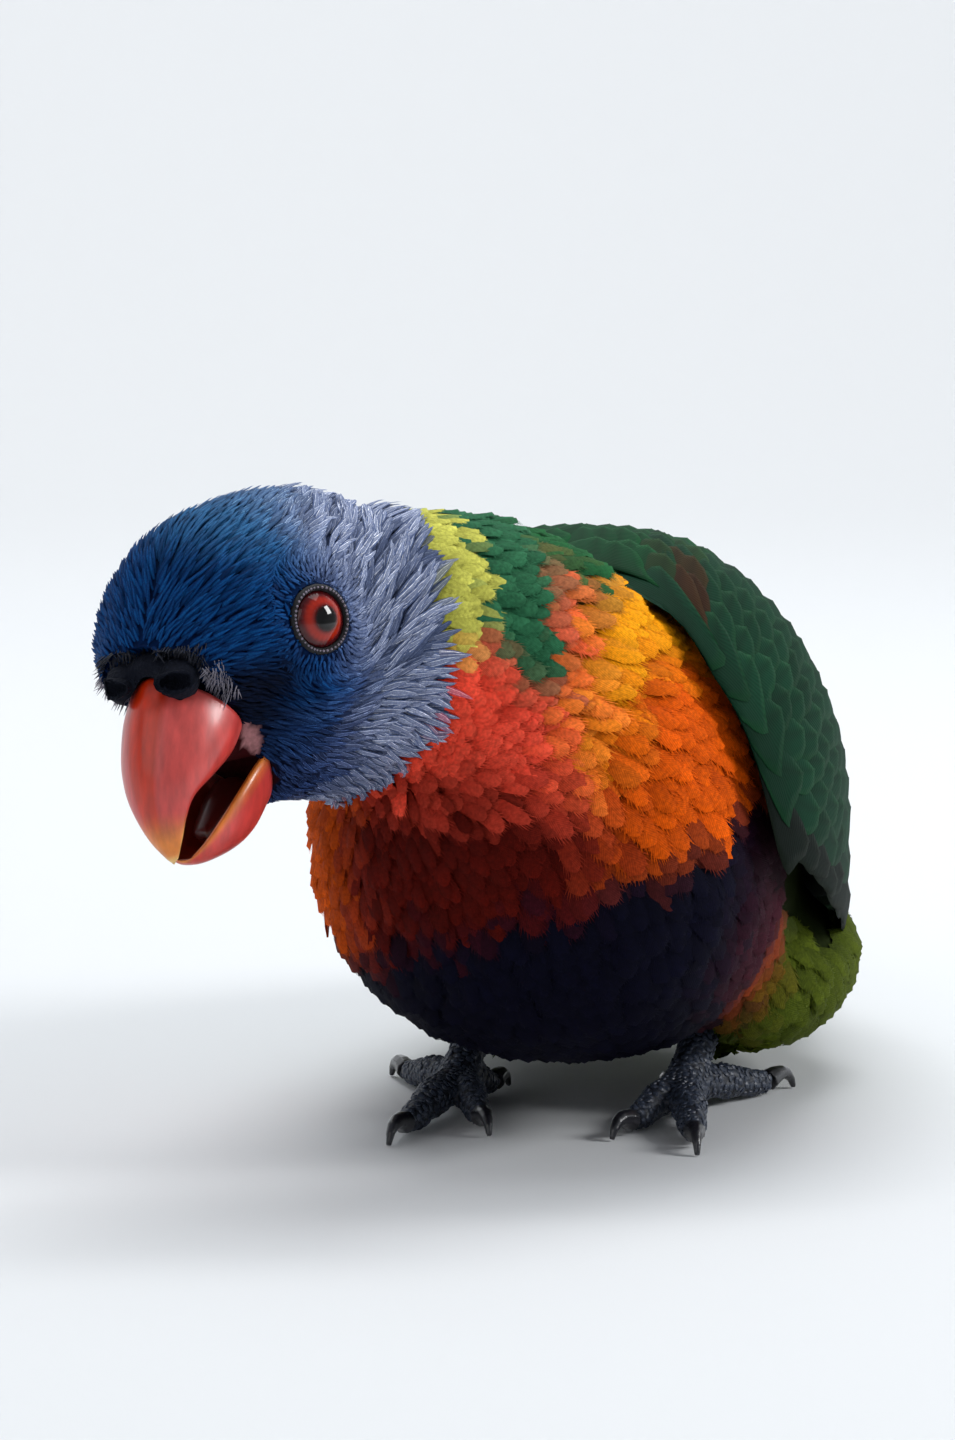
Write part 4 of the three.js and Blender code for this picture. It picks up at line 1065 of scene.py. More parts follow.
def build_wing(side, name):
    # The wing's flesh and bone under its feathers
    steps, cells = 40, 20
    rings = []
    for share in np.linspace(0, 1, steps):
        narrow = math.sqrt(max(0.1, 1 - max(0, 1 - share / 0.14) ** 2))
        q = np.linspace(0.5 - 0.45 * narrow, 0.5 + 0.47 * narrow, cells)
        depth = 1.2 * math.sqrt(max(0.06, 1 - (2 * share - 1) ** 4))
        edge = np.sqrt(np.maximum(0.05, 1 - np.linspace(-1, 1, cells) ** 4))
        inner = wing_point(side, share * 0.72, q, 0.0)
        outer = wing_point(side, share * 0.72, q, depth * edge)
        rings.append(np.concatenate([inner, outer[::-1]]))
    core = loft(name + "_core", np.stack(rings))
    core.data.materials.append(down)
    # The flesh is coloured near black, a painted shade for the gaps between the wing's feathers
    colour_layer(core, np.tile(WING_DARK, (len(core.data.vertices), 1)))
    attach(core, "root")
    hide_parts(name)

    def laid(p0, q0, p1, q1, base, tip):
        """Lays a feather over the wing from one place of it to another, rising toward its tip."""

        def at(t, across, height):
            p = mix(p0, p1, t)
            lift = mix(base, tip, t) + height
            return wing_point(side, p, mix(q0, q1, t) + across / wing_girth(p), np.maximum(0.2, lift))

        return at

    flights = Vanes(6)
    for k in range(PRIMARIES):
        share = k / (PRIMARIES - 1)
        tip_at = 1 - 0.34 * share**1.15
        at = laid(0.36, 0.05 + 0.3 * share, tip_at, 0.13 + 0.42 * share, 0.6, 0.35 + 0.9 * share)
        made = vane(at, 10.5, -0.35, 30, 9, 0.3, -0.9, 40 + k)
        flights.add(made, flight_tone(mix(WING_GREEN, WING_BLUE, 0.35), WING_EDGE, 60 + k))
    for k in range(SECONDARIES):
        share = k / (SECONDARIES - 1)
        tip_at = 0.74 - 0.1 * share
        at = laid(0.34, 0.2 + 0.72 * share, tip_at, 0.34 + 0.62 * share, 0.9, 1.4 + 0.5 * share)
        made = vane(at, 11.5, -0.2, 24, 9, 0.3, -0.9, 80 + k, round_from=0.6)
        flights.add(made, flight_tone(WING_GREEN, WING_EDGE, 90 + k))
    flights.piece(name + "_flight_feathers", flight_web, "wing_plumage")

    coverts = Vanes(12)
    draw = np.random.default_rng(5 if side > 0 else 6)
    for tier, (count, p0, p1, width, base, tip, rows) in enumerate(COVERT_TIERS):
        for k in range(count):
            q = 0.06 + 0.88 * k / (count - 1)
            p_tip = p1 * draw.uniform(0.97, 1.03)
            at = laid(p0, q, p_tip, q + draw.normal(0, 0.008), base, tip + 0.15 * draw.random())
            seed = 200 + 20 * tier + k
            wide = width * draw.uniform(0.95, 1.06)
            made = vane(at, wide, -0.1, rows, 7, 0.25, -0.8, seed, round_from=0.4)
            # The front coverts darken toward the bend: partly their own dark colour and partly a painted
            # shadow along the wing's edge
            lead_shadow = smooth(q, 0.16, 0.03) * 0.9
            base_tone = mix(COVERT_GREEN, WING_SHADOW[0], lead_shadow)
            edge_tone = mix(WING_EDGE, WING_SHADOW[1], lead_shadow)
            if side < 0 and q < 0.36 and p0 < 0.02:
                # Where the breast's feathers hide the right wing's bend, its coverts take their colours
                breast_at = markings(wing_point(side, p0, np.array([q]), 0.0))
                base_tone, edge_tone = (tone[0] for tone in breast_at)
            coverts.add(made, covert_tone(base_tone, edge_tone, seed + 100))
    coverts.piece(name + "_covert_feathers", covert_web, "wing_plumage")

    # Scapulars bridge the top edge of the wing and the back, longest at the rear
    scapulars = Vanes(11)
    for tier in range(SCAPULAR_ROWS):
        for k in range(SCAPULARS_IN_ROW):
            q = 0.86 + 0.05 * k
            p0 = 0.01 + 0.038 * tier + draw.uniform(-0.008, 0.008)
            length = 0.065 + 0.012 * tier
            at = laid(p0, q, p0 + length, q - 0.02 - 0.007 * k, 0.8, 2.3 - 0.08 * k + 0.3 * draw.random())
            seed = 400 + 10 * tier + k
            made = vane(at, 4.6 + 0.4 * tier, -0.1, 10, 7, 0.22, -0.5, seed, round_from=0.35)
            shade = smooth(p0, 0.12, 0.02) * smooth(q, 1.0, 0.9) * 0.8
            tones = mix(BACK[0], THIGH_RED[0] * 0.6, shade), mix(BACK[1], THIGH_RED[0], shade)
            scapulars.add(made, covert_tone(*tones, seed + 50))
    scapulars.piece(name + "_scapular_feathers", covert_web, "wing_plumage")


build_wing(1, "wing_left")
build_wing(-1, "wing_right")

# Tail
# Twelve long tapering feathers of stiff keratin, rooted in the rump, the middle pair longest and on top.
# They lie on the ground behind the bird, green with yellower inner webs.
TAIL_GREEN, TAIL_INNER = linear("#165a2c"), linear("#8a8a20")


def tail_tone(seed, pair, side):
    """Colours of a tail feather: green, with a yellow inner web on all but the middle pair."""
    shade = math.exp(np.random.default_rng(seed).normal(0, 0.06))

    def tone(t, j):
        inner = smooth(j * side, 0.0, -0.5) * min(1, pair / 2)
        colour = mix(TAIL_GREEN, TAIL_INNER, (0.8 * inner)[:, None])
        colour = mix(colour, WING_EDGE, (0.5 * smooth(np.abs(j), 0.7, 1.0))[:, None])
        colour = mix(colour, TAIL_INNER, (0.4 * smooth(t, 0.85, 1.0))[:, None])
        return mix(colour, SHAFT_TONE, smooth(np.abs(j), 0.09, 0.02)[:, None]) * shade

    return tone


tail_feathers = Vanes(4)
for k in range(TAIL_PAIRS):
    for side in (1, -1):
        reach = 1 - 0.085 * k
        spread = math.radians(0.8 + 1.15 * k) * side
        layer = 0.62 * (TAIL_PAIRS - 1 - k) + (0.28 if side > 0 else 0)

        def tail_at(t, across, height, reach=reach, spread=spread, layer=layer, k=k, side=side):
            s = t * reach
            middle = tail_middle(s)
            offset = (0.9 + 0.75 * k) * side + math.sin(spread) * s * TAIL_LENGTH + across
            arch = -0.018 * offset * offset * (1 - t)
            z = middle[..., 2] + height + layer * 0.55 * (1 - 0.55 * t) + arch
            return np.stack([middle[..., 0] + offset, middle[..., 1], np.maximum(0.1, z)], -1)

        seed = 500 + 2 * k + (side > 0)
        wide = 10.5 - 0.35 * k
        made = vane(tail_at, wide, -0.15 * side, 44, 9, 0.35, 0.9 * side, seed, round_from=0.35)
        tail_feathers.add(made, tail_tone(seed + 30, k, side))
tail_web = vane_material("stiff_green_tail_feather", 0.5, 0.6, 110)
tail_piece = tail_feathers.piece("tail_feathers", tail_web, "tail_plumage")
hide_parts("tail")

# Bill
# A short, deep hooked upper bill over a scoop-shaped lower one, each a thin sheath of horn grown over
# bone and worn smooth. Coral red on the sides, more orange along the ridge, and yellow at the worn tip.
UPPER_RIDGE = np.array([
    [15.2, 4.2], [18, 1.4], [20.2, -2.8], [21.2, -6.6], [21.2, -10], [20.4, -13], [19.1, -15.3],
])
UPPER_EDGE = np.array([
    [7.4, -4.6], [9.6, -6.2], [13, -7.6], [16.4, -9], [17.6, -10.8], [18.1, -13], [18.3, -15.2],
])
UPPER_HALF = np.array([6.3, 6.2, 5.5, 4.2, 3.1, 2.0, 0.7])
UPPER_TIP = (18.6, -15.9)
UPPER_SLOPE = 1.3
LOWER_KEEL = np.array([
    [2.8, -14.2], [6.3, -16.2], [9.6, -17.0], [13, -17.1], [15.4, -16.9], [16.6, -16.4],
])
LOWER_EDGE = np.array([
    [4.6, -7.6], [7.9, -8.7], [11.2, -10.6], [14.1, -12.8], [15.9, -14.6], [16.7, -15.8],
])
LOWER_HALF = np.array([5.4, 5.6, 5.2, 4.2, 2.9, 1.4])
LOWER_TIP = (16.9, -16.1)


def resampled(values, count):
    """Smooth curve through a few given stations."""
    n = len(values)
    x = np.linspace(0, n - 1, count)
    i = np.clip(x.astype(int), 0, n - 2)
    t = x - i
    pick = [values[np.clip(i + k, 0, n - 1)] for k in (-1, 0, 1, 2)]
    if values.ndim > 1:
        t = t[:, None]
    a = 2 * pick[1]
    b = pick[2] - pick[0]
    c = 2 * pick[0] - 5 * pick[1] + 4 * pick[2] - pick[3]
    d = -pick[0] + 3 * pick[1] - 3 * pick[2] + pick[3]
    return (a + b * t + c * t * t + d * t**3) / 2


BILL_RED, BILL_RIDGE, BILL_TIP = linear("#c63c36"), linear("#c42a00"), linear("#eebc72")
# The pink is a painted sheen on the bill's upper sides
BILL_PAINTED_SHEEN, BILL_EDGE, BILL_INSIDE = linear("#cc5854"), linear("#e48a28"), linear("#7a2410")
# The upper bill is a tube of half rounds between its ridge and its cutting edge
rows, sides = 36, 48
ridge, edge, half = (resampled(v, rows) for v in (UPPER_RIDGE, UPPER_EDGE, UPPER_HALF))
turn = np.linspace(0, 2 * math.pi, sides, endpoint=False)
up = np.sin(turn)
reach = np.where(up > 0, 0.34 + 0.66 * up, 0.34 + 0.34 * np.maximum(up * 1.5, -0.9))
aside = np.sign(np.cos(turn)) * np.abs(np.cos(turn)) ** UPPER_SLOPE
place = edge[:, None] + (ridge - edge)[:, None] * reach[None, :, None]
rings = on_head(place[..., 0], half[:, None] * aside[None], place[..., 1])
upper_bill = loft("upper_bill", rings, end=on_head(UPPER_TIP[0], 0, UPPER_TIP[1]))
down_bill = np.linspace(0, 1, rows)[:, None]
up_side = np.clip((reach[None] - 0.1) / 0.9, 0, 1)
# Painted sheen: the upper sides are paler pink toward the root, as light shining on them
paler = 0.5 * smooth(up_side, 0.1, 0.6) * smooth(down_bill, 0.75, 0.2)
tone = mix(BILL_RED, BILL_PAINTED_SHEEN, paler[..., None])
on_ridge = smooth(np.abs(aside) + (up < 0) * 2, 0.41, 0.28)
tone = mix(tone, BILL_RIDGE, on_ridge[None, :, None])
tone = mix(tone, BILL_EDGE, 0.8 * smooth(down_bill, 0.62, 0.86)[..., None])
cream = smooth(down_bill, 0.62, 0.9) * smooth(up_side, 0.45, 0.05)
tone = mix(tone, BILL_TIP, np.maximum(cream, smooth(down_bill, 0.93, 1.0))[..., None])
colour_layer(upper_bill, np.concatenate([tone.reshape(-1, 3), [BILL_RED], [BILL_TIP]]))


def horn_material(name, roughness, line_mm):
    """Horn grown in layers and worn smooth: a soft shine over faint growth lines, glowing a little."""
    made, tree, shader = new_material(
        name, Roughness=roughness, IOR=1.54, Coat_Weight=0.2, Coat_Roughness=0.15, Subsurface_Weight=0.06,
    )
    shader.inputs["Subsurface Radius"].default_value = (1.0, 0.35, 0.2)
    shader.inputs["Subsurface Scale"].default_value = 1.2 * MM
    where = add_node(tree, "ShaderNodeTexCoord")
    stretch = add_node(
        tree, "ShaderNodeMapping", Vector=where.outputs["Object"], Scale=(1.0, 0.6, 0.25),
        Rotation=(0.2, 0.1, math.radians(-HEAD_YAW)),
    )
    along_lines = stretch.outputs["Vector"]
    cloud = add_node(tree, "ShaderNodeTexNoise", Vector=along_lines, Scale=1 / (line_mm * MM), Detail=4.0)
    span = add_node(tree, "ShaderNodeMapRange", i0=cloud.outputs["Fac"], i1=0.3, i2=0.7, i3=0.74, i4=1.14)
    tint(tree, shader, span.outputs["Result"])
    bump = add_node(tree, "ShaderNodeBump", Height=cloud.outputs["Fac"], Strength=0.12, Distance=0.2 * MM)
    tree.links.new(bump.outputs["Normal"], shader.inputs["Normal"])
    return made


bill_horn = horn_material("polished_red_horn", 0.34, 0.9)
upper_bill.data.materials.append(bill_horn)
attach(upper_bill, "root")
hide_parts("bill_upper")

# The lower bill is a scoop with a wall, open above
rows, sides, wall, half_turn = 28, 25, 0.55, 1.25
keel, edge, half = (resampled(v, rows) for v in (LOWER_KEEL, LOWER_EDGE, LOWER_HALF))
spread = np.linspace(-half_turn, half_turn, sides) - math.pi / 2
lift = (np.sin(spread) + 1) / (math.sin(spread[0]) + 1)
sideways = np.cos(spread) / abs(math.cos(spread[0]))
layers = []
for inset in (0.0, wall):
    depth = (edge - keel)[:, None] * lift[None, :, None]
    inward = unit(edge - keel)[:, None] * inset * (1 - lift[None, :, None])
    place = keel[:, None] + depth + inward
    inner_half = half[:, None] - inset * smooth(half, 0.5, 2)[:, None]
    width = inner_half * np.sign(sideways) * np.abs(sideways) ** 0.7
    layers.append(on_head(place[..., 0], width, place[..., 1]))
shell_rings = np.concatenate([layers[0], layers[1][:, ::-1]], axis=1)
lower_bill = loft("lower_bill", shell_rings, end=on_head(LOWER_TIP[0], 0, LOWER_TIP[1]))
down_bill = np.linspace(0, 1, rows)[:, None]
near_edge = np.concatenate([lift, lift[::-1]])[None]
inside = np.concatenate([np.zeros(sides), np.ones(sides)])[None]
tone = mix(BILL_RED, BILL_EDGE, (smooth(near_edge, 0.75, 1.0) * 0.75 + 0 * down_bill)[..., None])
tone = mix(tone, BILL_RIDGE, (smooth(down_bill, 0.5, 1.0) * 0.6 * (1 - near_edge * 0.5))[..., None])
tone = mix(tone, BILL_INSIDE, (inside * (1 - smooth(near_edge, 0.8, 1.0)) + 0 * down_bill)[..., None])
colour_layer(lower_bill, np.concatenate([tone.reshape(-1, 3), [MOUTH[0]], [BILL_EDGE]]))
lower_bill.data.materials.append(bill_horn)
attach(lower_bill, "root")
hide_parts("bill_lower")

# Tongue
# A thick muscular tongue lies in the lower bill, rooted in the throat. Its flesh is moist and a dull
# dark red, so it catches a soft light in the open mouth.


def smoothed(node, voxel, rounds, name, material):
    """One of the body's solids with its facets smoothed away, in a material."""
    obj = fused(node_copy(node), voxel, rounds)
    obj.name = name
    obj.data.materials.clear()
    obj.data.materials.append(material)
    return obj


def plain_material(name, code, **sockets):
    return new_material(name, Base_Color=(*linear(code), 1), **sockets)


moist, _, _ = plain_material("moist_tongue_flesh", "#4a1512", Roughness=0.3, Coat_Weight=0.2)
tongue = smoothed("tongue", 0.3, 4, "tongue_flesh", moist)
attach(tongue, "root")
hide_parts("tongue")

# Cere
# A band of bare dark skin round the nostrils, grown over the root of the bill, matt and finely pored.
# Short stiff bristles ring it, pale ones at its sides and dark ones over its top edge.
CERE_DEPTH, PORE_MM = 0.55, 0.35
BRISTLE_LENGTH, BRISTLE_ROOT, BRISTLE_END = 1.3, 0.09, 0.012
bare, tree, shader = plain_material("matt_bare_skin", "#0c101c", Roughness=0.85)
shader.inputs["Specular IOR Level"].default_value = 0.15
place = add_node(tree, "ShaderNodeTexCoord").outputs["Object"]
pores = add_node(tree, "ShaderNodeTexVoronoi", Vector=place, Scale=1 / (PORE_MM * MM))
bump = add_node(tree, "ShaderNodeBump", Height=pores.outputs["Distance"], Strength=0.5, Distance=0.2 * MM)
tree.links.new(bump.outputs["Normal"], shader.inputs["Normal"])
cere = smoothed("cere", 0.3, 5, "cere_skin", bare)
set_vertices(cere, vertices_of(cere) - normals_of(cere) * CERE_DEPTH)
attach(cere, "root")
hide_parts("cere")


def new_group(name, **inputs):
    """An empty Geometry Nodes tree with a mesh in, a mesh out and the named inputs."""
    tree = bpy.data.node_groups.new(name, "GeometryNodeTree")
    tree.interface.new_socket("Geometry", in_out="INPUT", socket_type="NodeSocketGeometry")
    tree.interface.new_socket("Geometry", in_out="OUTPUT", socket_type="NodeSocketGeometry")
    for label, kind in inputs.items():
        tree.interface.new_socket(label, in_out="INPUT", socket_type=kind)
    return tree, tree.nodes.new("NodeGroupInput"), tree.nodes.new("NodeGroupOutput")


def finish_group(tree, instances, group_in, group_out):
    """Ends a tree: the instances made real and given the material."""
    real = add_node(tree, "GeometryNodeRealizeInstances", Geometry=instances.outputs["Instances"])
    dressed = add_node(
        tree, "GeometryNodeSetMaterial", Geometry=real.outputs["Geometry"],
        Material=group_in.outputs["Material"],
    )
    tree.links.new(dressed.outputs["Geometry"], group_out.inputs["Geometry"])


def grown(base, tree, name, values):
    """What a Geometry Nodes tree grows on a mesh, as a new plain piece."""
    growth = base.modifiers.new("growth", "NODES")
    growth.node_group = tree
    for item in tree.interface.items_tree:
        if item.in_out == "INPUT" and item.name in values:
            growth[item.identifier] = values[item.name]
    mesh = plain_mesh(base)
    mesh.name = name
    return linked(name, mesh)


def scattered_group(name, spread_mm, shape, tilt, low, high):
    """A tree that stands copies of a small shape on a surface, tipped from its normal toward a way."""
    tree, into, out_of = new_group(name, Material="NodeSocketMaterial", Seed="NodeSocketInt")
    surface, seed = into.outputs["Geometry"], into.outputs["Seed"]
    spread = add_node(
        tree, "GeometryNodeDistributePointsOnFaces", {"distribute_method": "POISSON"}, Mesh=surface,
        Distance_Min=spread_mm * MM, Density_Max=4 / (spread_mm * MM) ** 2, Seed=seed,
    )
    loose = {"i0": (-0.25,) * 3, "i1": (0.25,) * 3}
    jitter = add_node(tree, "FunctionNodeRandomValue", {"data_type": "FLOAT_VECTOR"}, Seed=seed, **loose)
    leaning = add_node(tree, "ShaderNodeVectorMath", i0=spread.outputs["Normal"], i1=jitter.outputs[0])
    tipped = add_node(tree, "ShaderNodeVectorMath", i0=leaning.outputs["Vector"], i1=tuple(tilt))
    way = tipped.outputs["Vector"]
    facing = add_node(tree, "FunctionNodeAlignRotationToVector", {"axis": "Z"}, Vector=way)
    sizes = add_node(tree, "FunctionNodeRandomValue", {"data_type": "FLOAT"}, Seed=seed, i2=low, i3=high)
    placed = add_node(
        tree, "GeometryNodeInstanceOnPoints", Points=spread.outputs["Points"],
        Rotation=facing.outputs["Rotation"], Scale=sizes.outputs[1], Instance=shape(tree),
    )
    finish_group(tree, placed, into, out_of)
    return tree


def patch_of(obj, keep, name):
    """A loose copy of the part of a piece where keep is true."""
    work = bmesh.new()
    work.from_mesh(obj.data)
    work.verts.ensure_lookup_table()
    chosen = keep(vertices_of(obj))
    bmesh.ops.delete(work, geom=[v for v in work.verts if not chosen[v.index]], context="VERTS")
    mesh = bpy.data.meshes.new(name)
    work.to_mesh(mesh)
    work.free()
    return linked(name, mesh)


def bristle(tree):
    """A thin hollow spike, narrow toward its end."""
    cone = add_node(
        tree, "GeometryNodeMeshCone", {"fill_type": "NONE"}, Vertices=4, Radius_Top=BRISTLE_END * MM,
        Radius_Bottom=BRISTLE_ROOT * MM, Depth=BRISTLE_LENGTH * MM,
    )
    return cone.outputs["Mesh"]


def beside_cere(points):
    f, l, u = to_head(points)
    return (np.abs(f - 13.5) < 3.0) & (np.abs(np.abs(l) - 6.6) < 1.7) & (np.abs(u - 1.6) < 3.6)


def over_cere(points):
    f, l, u = to_head(points)
    return (f > 11.5) & (np.abs(l) < 7) & (u > 4.4) & (u < 7.6)


forward_down = head_f * 0.5 - head_u * 0.9
# Keratin as on the feathers, matt, so that the bristles show as fine pale and dark strokes
pale_keratin, _, _ = plain_material("pale_bristle_keratin", "#807c88", Roughness=0.6)
dark_keratin, _, _ = plain_material("dark_bristle_keratin", "#0c1224", Roughness=0.6)
for name, where_on, material, spacing in (
    ("cere_side_bristles", beside_cere, pale_keratin, 0.3),
    ("cere_top_bristles", over_cere, dark_keratin, 0.26),
):
    group = scattered_group(name, spacing, bristle, forward_down, 0.6, 1.3)
    ground = patch_of(skin, where_on, name + "_ground")
    bristles = grown(ground, group, name, {"Material": material, "Seed": 4})
    bpy.data.objects.remove(ground)
    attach(bristles, "root")

# Eyes
# A round eye wet with tears, with a black pupil in a red iris that is wine red further out and dark at
# its rim. It is set in a ring of bare dark lid with a row of tiny beads of skin.
IRIS_RADIUS, PUPIL_RADIUS = 3.15, 1.4
LID_RADIUS, LID_HALF, LID_HEIGHT, LID_STEPS, LID_SIDES = 3.5, 0.36, 0.42, 72, 12
BEADS, BEAD_SIZE = 46, 0.13
IRIS_RED, IRIS_WINE, IRIS_INNER = linear("#98200f"), linear("#480a0e"), linear("#7c1c14")
IRIS_RIM, PUPIL_BLACK, EYE_BACK = linear("#140406"), linear("#010101"), linear("#1a0606")
# The film of tears is smooth as water, so the lights mirror in it. The lid and its beads are dry, so matt
wet, tree, shader = new_material(
    "wet_eye", Roughness=0.04, IOR=1.34, Coat_Weight=0.3, Coat_Roughness=0.02,
)
iris_tone = add_node(tree, "ShaderNodeAttribute", {"attribute_name": "marking"})
tree.links.new(iris_tone.outputs["Color"], shader.inputs["Base Color"])
lid_skin, _, _ = plain_material("bare_lid_skin", "#0a0a10", Roughness=0.8)
bead_skin, _, _ = plain_material("pale_lid_bead", "#7a7080", Roughness=0.55)
row_of_beads, row_in, row_out = new_group(
    "row_of_beads", Material="NodeSocketMaterial", Seed="NodeSocketInt",
)
dots = add_node(row_of_beads, "GeometryNodeMeshToPoints", Mesh=row_in.outputs["Geometry"])
bead = add_node(row_of_beads, "GeometryNodeMeshIcoSphere", Radius=BEAD_SIZE * MM, Subdivisions=1)
sizes = add_node(
    row_of_beads, "FunctionNodeRandomValue", {"data_type": "FLOAT"}, Seed=row_in.outputs["Seed"],
    i2=0.7, i3=1.3,
)
placed = add_node(
    row_of_beads, "GeometryNodeInstanceOnPoints", Points=dots.outputs["Points"],
    Instance=bead.outputs["Mesh"], Scale=sizes.outputs[1],
)
finish_group(row_of_beads, placed, row_in, row_out)
for side, label in ((1, "left"), (-1, "right")):
    # Looking out along its axis, the eye has one way across it and one up it
    axis = eye_axis(side)
    across = unit(np.cross(head_u, axis))
    rise = np.cross(axis, across)
    rows, sides = 40, 48
    polar = np.linspace(0.02, math.pi * 0.72, rows)
    turn = np.linspace(0, 2 * math.pi, sides, endpoint=False)
    ring = np.cos(turn)[:, None] * across + np.sin(turn)[:, None] * rise
    out = np.cos(polar)[:, None, None] * axis + np.sin(polar)[:, None, None] * ring[None]
    bulge = 1 + 0.035 * smooth(polar, 0.75, 0.2)
    ball = loft("eye_" + label + "_ball", eye_centre(side) + out * (EYE_RADIUS * bulge)[:, None, None])
    radius = EYE_RADIUS * np.sin(polar)
    iris = mix(IRIS_RED, IRIS_WINE, smooth(radius, 2.1, 2.7)[:, None])
    iris = mix(iris, IRIS_INNER, smooth(radius, 1.9, 1.5)[:, None])
    iris = mix(iris, IRIS_RIM, smooth(radius, 2.85, IRIS_RADIUS)[:, None])
    iris = mix(PUPIL_BLACK, iris, smooth(radius, PUPIL_RADIUS - 0.1, PUPIL_RADIUS + 0.1)[:, None])
    streak = 1 + 0.16 * np.sin(turn * 23)[None] * smooth(radius, 1.5, 2.4)[:, None]
    tone = iris[:, None] * streak[..., None]
    tone[polar > math.pi / 2] = EYE_BACK
    colour_layer(ball, np.concatenate([tone.reshape(-1, 3), [iris[0]], [iris[-1]]]))
    ball.data.materials.append(wet)
    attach(ball, "root")
    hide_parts("eye_" + label)

    # The lid is a soft ring on the ball, and the beads sit in a row round it
    lid_centre = eye_centre(side) + axis * math.sqrt(EYE_RADIUS**2 - IRIS_RADIUS**2)
    bow = np.linspace(0, 2 * math.pi, LID_SIDES, endpoint=False)[:, None]
    rings = []
    for angle in np.linspace(0, 2 * math.pi, LID_STEPS, endpoint=False):
        spoke = math.cos(angle) * across + math.sin(angle) * rise
        wrinkle = 1 + 0.06 * math.sin(angle * 19)
        section = np.cos(bow) * spoke * LID_HALF + np.sin(bow) * axis * LID_HEIGHT
        rings.append(lid_centre + spoke * LID_RADIUS + section * wrinkle)
    rings = np.stack(rings)
    faces = ring_faces(LID_STEPS + 1, LID_SIDES) % (LID_STEPS * LID_SIDES)
    lid = new_mesh("eyelid_" + label, rings.reshape(-1, 3), [faces])
    face_out(lid)
    lid.data.materials.append(lid_skin)
    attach(lid, "root")
    count = np.arange(BEADS)
    turns = 2 * math.pi * (count + 0.3 * np.sin(count * 7.0)) / BEADS
    spokes = np.cos(turns)[:, None] * across + np.sin(turns)[:, None] * rise
    places = lid_centre + spokes * (LID_RADIUS - 0.02) + axis * LID_HEIGHT
    pairs = np.concatenate([places, places + axis * 0.01])
    row = new_mesh("bead_places", pairs, [ring_faces(2, BEADS)[:, :3]])
    beads = grown(row, row_of_beads, "eyelid_beads_" + label, {"Material": bead_skin, "Seed": 3})
    bpy.data.objects.remove(row)
    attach(beads, "root")

# Feet and claws
# Bare grey legs and toes, two forward and two back, of tough skin grown into small hard scales that lie
# close together. Each toe ends in a curved dark claw, a sheath of horn over the last bone.
SCALE_MM, SCALE_RADIUS, SCALE_SPACING = 0.9, 0.52, 0.82
# The skin between the scales is dry and cracked, lighter on each plate than in the cracks
scaled, tree, shader = new_material("grey_scaled_skin", Roughness=0.55)
place = add_node(tree, "ShaderNodeTexCoord").outputs["Object"]
scales = add_node(tree, "ShaderNodeTexVoronoi", Vector=place, Scale=1 / (SCALE_MM * MM))
ramp = add_node(tree, "ShaderNodeValToRGB", Fac=scales.outputs["Distance"])
ramp.color_ramp.elements[0].color = (*linear("#3c4454"), 1)
ramp.color_ramp.elements[1].color = (*linear("#141822"), 1)
ramp.color_ramp.elements[1].position = 0.75
tree.links.new(ramp.outputs["Color"], shader.inputs["Base Color"])
bump = add_node(
    tree, "ShaderNodeBump", {"invert": True}, Height=scales.outputs["Distance"], Strength=0.8,
    Distance=0.4 * MM,
)
tree.links.new(bump.outputs["Normal"], shader.inputs["Normal"])
# A scale is hard and a little worn, and a claw is horn rubbed smooth, so it shines more
scale_horn, _, _ = plain_material("hard_grey_scale", "#2c3444", Roughness=0.45)
claw_horn, _, _ = plain_material("dark_claw_horn", "#1c1c22", Roughness=0.3, Coat_Weight=0.3)


def scale_shape(tree):
    """A flat oval plate."""
    bead = add_node(tree, "GeometryNodeMeshIcoSphere", Radius=SCALE_RADIUS * MM, Subdivisions=1)
    flat = add_node(tree, "GeometryNodeTransform", Geometry=bead.outputs["Mesh"], Scale=(1.0, 0.85, 0.42))
    return flat.outputs["Geometry"]


scale_group = scattered_group("scales_on_skin", SCALE_SPACING, scale_shape, (0.0, 0.0, 0.0), 0.8, 1.15)
for label in ("left", "right"):
    foot = smoothed("foot_" + label, 0.35, 5, "foot_" + label + "_scaled", scaled)
    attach(foot, "root")
    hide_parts("foot_" + label)
    values = {"Material": scale_horn, "Seed": 8}
    scales_piece = grown(foot, scale_group, "foot_" + label + "_scales", values)
    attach(scales_piece, "root")
    for toe in ("outer_front", "inner_front", "outer_back", "inner_back"):
        node = "claw_" + label + "_" + toe
        claw = smoothed(node, 0.18, 3, node + "_horn", claw_horn)
        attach(claw, "root")
        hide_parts(node)

# Stage, light and camera
# A wide bowl of pale paper, flat under the bird and curving up all round. A small light like a window on
# the bird's left, a large soft one above, a weak one in front and one on the paper behind it.
VIEW_AZIMUTH, VIEW_ELEVATION = 15.0, 6.0
CAMERA_PLACE = np.array([123.7, -508.3, 103.0])
LENS_MM, SENSOR_MM = 108.0, 36.0
BOWL_FLAT, BOWL_CURVE, BOWL_RIM, BOWL_STEPS, BOWL_SIDES = 1.2, 1.3, 3.2, 24, 96
azimuth, elevation = math.radians(VIEW_AZIMUTH), math.radians(VIEW_ELEVATION)
level = np.array([math.sin(azimuth), -math.cos(azimuth), 0.0])
toward = level * math.cos(elevation) + np.array([0.0, 0.0, math.sin(elevation)])
right = np.array([math.cos(azimuth), math.sin(azimuth), 0.0])
above = np.cross(toward, right)
camera_data = bpy.data.cameras.new("camera")
camera_data.lens = LENS_MM
camera_data.sensor_width = SENSOR_MM
camera_data.clip_start = 0.01
camera = linked("camera", camera_data)
